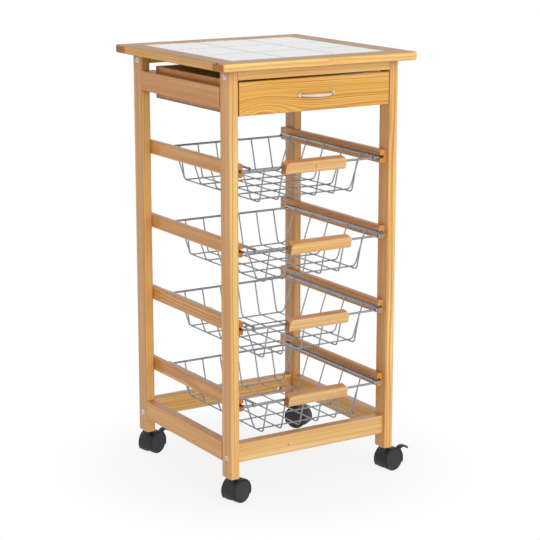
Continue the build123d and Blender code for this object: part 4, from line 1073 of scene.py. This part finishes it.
def buildBoltTree():
    # One bolt at each corner of a box, its face outwards on the left and the right
    tree, ins, outs = newGroup("boltSet", [
        ("Geometry", shape, None), ("Half Width", real, 0.163), ("Half Depth", real, 0.148),
        ("Low", real, 0.07), ("High", real, 0.7), ("Bolt", thing, None), ("Steel", stuff, None),
    ], [("Geometry", shape)], "GeometryNodeTree")
    wide, deep = (times(tree, ins[name], 2.0) for name in ("Half Width", "Half Depth"))
    tall = less(tree, ins["High"], ins["Low"])
    middle = times(tree, plus(tree, ins["High"], ins["Low"]), 0.5)
    box = put(tree, "GeometryNodeMeshCube", {"Size": combine(tree, wide, deep, tall)}).outputs[0]
    places = moved(tree, box, 0.0, 0.0, middle)
    position = put(tree, "GeometryNodeInputPosition").outputs[0]
    onLeft = maths(tree, "LESS_THAN", separate(tree, position)[0], 0.0)
    inputs = {"Min": 0.0, "Max": 1.0, "Seed": 2}
    roll = put(tree, "FunctionNodeRandomValue", inputs, data_type="FLOAT").outputs[1]
    turned = combine(tree, roll, 0.0, times(tree, onLeft, math.pi))
    one = put(tree, "GeometryNodeObjectInfo", {"Object": ins["Bolt"]}).outputs["Geometry"]
    return endTree(tree, copiesOn(tree, places, one, Rotation=turned), ins["Steel"], outs)


boltLow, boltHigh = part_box("frame_bolts")
boltPlaces = {
    "Half Width": 0.163, "Half Depth": boltHigh.y - boltSizes["head"],
    "Low": boltLow.z + boltSizes["head"], "High": boltHigh.z - boltSizes["head"],
}
oneBolt = buildOneBolt()
boltValues = {**boltPlaces, "Bolt": oneBolt, "Steel": zincBolt}
frameBolts = runTree(buildBoltTree(), boltValues, "socketBolts", zincBolt)
declare(frameBolts, "frame", "zinc_bolts", "frame_bolts")
bpy.data.objects.remove(oneBolt)
print("bolts set:", {name: round(value, 4) for name, value in boltPlaces.items()})

handleSizes = {
    "face": -0.163, "screw": 0.032, "reach": 0.021, "rise": 0.0026, "bar": 0.0019, "slim": 0.72, "oval": 0.8,
    "foot": 0.004, "footLong": 0.003, "footBase": 0.0006, "footRound": 0.0016, "footIn": 0.0005,
    "sides": 20, "steps": 56, "footSegments": 32,
}


def buildHandle():
    # A bow swept along an arc, slimmer towards its ends, on two turned feet
    size = handleSizes
    low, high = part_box("drawer_handle")
    middle = (low.z + high.z) / 2
    screw, reach, oval = size["screw"], size["reach"], size["oval"]
    radius = (screw * screw + reach * reach) / (2 * reach)
    middleY = size["face"] - reach + radius
    far = math.asin(min(1.0, screw / radius))
    bm = bmesh.new()
    rings = []
    for step in range(size["steps"] + 1):
        angle = -far + 2 * far * step / size["steps"]
        slim = 1 - (1 - size["slim"]) * (abs(angle) / far) ** 2
        ring = []
        for side in range(size["sides"]):
            turn = 2 * math.pi * side / size["sides"]
            wide, thick = math.cos(turn), math.sin(turn)
            wide = math.copysign(abs(wide) ** oval, wide) * size["rise"] * slim
            thick = math.copysign(abs(thick) ** oval, thick) * size["bar"] * slim
            away = radius + thick
            y = middleY - away * math.cos(angle)
            ring.append(bm.verts.new((away * math.sin(angle), y, middle + wide)))
        rings.append(ring)
    bridge(bm, rings)
    bm.faces.new(rings[0])
    bm.faces.new(list(reversed(rings[-1])))
    foot, long, base = size["foot"], size["footLong"], size["footBase"]
    profile = [(0.0, size["footIn"]), (foot, size["footIn"]), (foot, -base)]
    for sine, cosine in quarterTurn(6, 1):
        profile.append((foot - size["footRound"] * (1 - cosine), -base - (long - base) * sine))
    profile.append((0.0, -long))
    for side in (-1, 1):
        place = Matrix.Translation((side * screw, size["face"], middle))
        lathe(bm, profile, size["footSegments"], place)
    return fromBmesh(bm, "bowHandle", chromePlate, 50.0)


declare(buildHandle(), "drawer", "chrome", "drawer_handle")
print("handle bent")

# Finishes of the CAD nodes that stay as they are
finishes = {
    "runner_pins": plainSteel, "drawer_pins": plainSteel, "worktop_screws": plainSteel,
    "drawer_handle_screws": plainSteel, "frame_dowels": dowelBeech, "drawer_dowels": dowelBeech,
    "barrel_nuts": zincBolt, "caster_stems": zincBolt, "tile_board": brownBoard, "drawer_bottom": brownBoard,
    **pineOf,
}
for corner in casterCorners:
    finishes[f"{corner}_caster_axle"] = zincBolt
for nodeName, material in finishes.items():
    node = nodes[nodeName]
    node.data.materials.clear()
    node.data.materials.append(material)
print("finishes given to", len(finishes), "nodes")

# A glow is a soft lobe of light: turn from the front to the right, height, sharpness, strength, colour
studio = {
    "floorSize": 14.0, "floorColour": (0.86, 0.86, 0.865, 1.0), "floorLift": 0.84,
    "shadowEdge": (0.12, 0.44),
    "skyLevel": (0.11, 0.105, 0.11), "horizonGlow": 0.02, "horizonWidth": 0.34,
    "keyPower": 1.4, "keyPlace": (0.22, -2.46, 1.17), "keySize": (1.6, 1.6), "keyAim": (0, 0, 0.37),
    "glows": {
        "front": (0, 10, 4, 2.85, (1.0, 1.0, 0.99)), "right": (90, 2, 5, 0.8, (1.0, 1.0, 1.0)),
        "left": (-90, 3, 5, 1.2, (1.0, 0.94, 0.97)), "backRight": (130, 5, 8, 1.35, (0.99, 0.99, 1.0)),
        "backLeft": (-140, 5, 8, 0.62, (1.0, 0.95, 0.97)), "back": (180, 5, 6, 0.1, (1.0, 1.0, 1.0)),
    },
}


def seesBackdrop(tree):
    # The camera sees the white backdrop, and so do shiny and clear things
    path = put(tree, "ShaderNodeLightPath").outputs
    shiny = maths(tree, "MAXIMUM", path["Is Glossy Ray"], path["Is Transmission Ray"])
    return maths(tree, "MAXIMUM", path["Is Camera Ray"], shiny)


def buildFloor():
    # Pale and matt under the cart, where it keeps the shadow, and white further out
    bpy.ops.mesh.primitive_plane_add(size=studio["floorSize"], location=(0, 0, 0))
    floor = bpy.context.active_object
    floor.name = "studioFloor"
    material = bpy.data.materials.new("studioFloor")
    material.use_nodes = True
    tree = material.node_tree
    tree.nodes.clear()
    matte = put(tree, "ShaderNodeBsdfDiffuse", {"Color": studio["floorColour"]})
    glow = put(tree, "ShaderNodeEmission", {"Color": white, "Strength": 1.0})
    place = put(tree, "ShaderNodeTexCoord").outputs["Object"]
    away = vectorMaths(tree, "LENGTH", place, result="Value")
    near, far = studio["shadowEdge"]
    part = times(tree, seesBackdrop(tree), ease(tree, away, near, far, studio["floorLift"], 1.0))
    mixed = put(tree, "ShaderNodeMixShader", {0: part, 1: matte.outputs[0], 2: glow.outputs[0]})
    put(tree, "ShaderNodeOutputMaterial", {"Surface": mixed.outputs[0]})
    floor.data.materials.append(material)


def buildWorld():
    # White to the eye; as a light, a dim studio with soft glows
    world = bpy.data.worlds.new("studio")
    bpy.context.scene.world = world
    world.use_nodes = True
    tree = world.node_tree
    tree.nodes.clear()
    way = put(tree, "ShaderNodeTexCoord").outputs["Generated"]
    up = over(tree, separate(tree, way)[2], studio["horizonWidth"])
    band = times(tree, hump(tree, square(tree, up)), studio["horizonGlow"])
    light = vectorMaths(tree, "ADD", studio["skyLevel"], combine(tree, band, band, band))
    for azimuth, height, sharpness, strength, colour in studio["glows"].values():
        turn, rise = math.radians(azimuth), math.radians(height)
        heading = (math.sin(turn) * math.cos(rise), -math.cos(turn) * math.cos(rise), math.sin(rise))
        towards = vectorMaths(tree, "DOT_PRODUCT", way, heading, "Value")
        lobe = maths(tree, "POWER", maths(tree, "MAXIMUM", towards, 0.0), sharpness)
        glow = scaled(tree, tuple(strength * part for part in colour), lobe)
        light = vectorMaths(tree, "ADD", light, glow)
    shown = tint(tree, seesBackdrop(tree), light, white)
    shine = put(tree, "ShaderNodeBackground", {"Color": shown})
    put(tree, "ShaderNodeOutputWorld", {"Surface": shine.outputs[0]})


def addKeyLamp():
    lamp = bpy.data.lights.new("keyBox", "AREA")
    lamp.shape = "RECTANGLE"
    lamp.size, lamp.size_y = studio["keySize"]
    lamp.energy = studio["keyPower"]
    stand = addToScene(bpy.data.objects.new("keyBox", lamp))
    place, aim = Vector(studio["keyPlace"]), Vector(studio["keyAim"])
    stand.location = place
    stand.rotation_euler = (aim - place).to_track_quat("-Z", "Y").to_euler()
    stand.visible_camera = False


cameraPlace = {
    "location": (-1.5343, -2.5038, 1.0286), "yaw": 31.717, "pitch": 13.018, "lens": 115.85, "sensor": 36.0,
}


def addCamera():
    lens = bpy.data.cameras.new("photoCamera")
    lens.lens = cameraPlace["lens"]
    lens.sensor_width = cameraPlace["sensor"]
    camera = addToScene(bpy.data.objects.new("photoCamera", lens))
    camera.location = cameraPlace["location"]
    camera.rotation_euler = (math.radians(90 - cameraPlace["pitch"]), 0, -math.radians(cameraPlace["yaw"]))
    bpy.context.scene.camera = camera


buildFloor()
buildWorld()
addKeyLamp()
addCamera()
bpy.context.scene.view_settings.view_transform = "Standard"
print("studio ready")
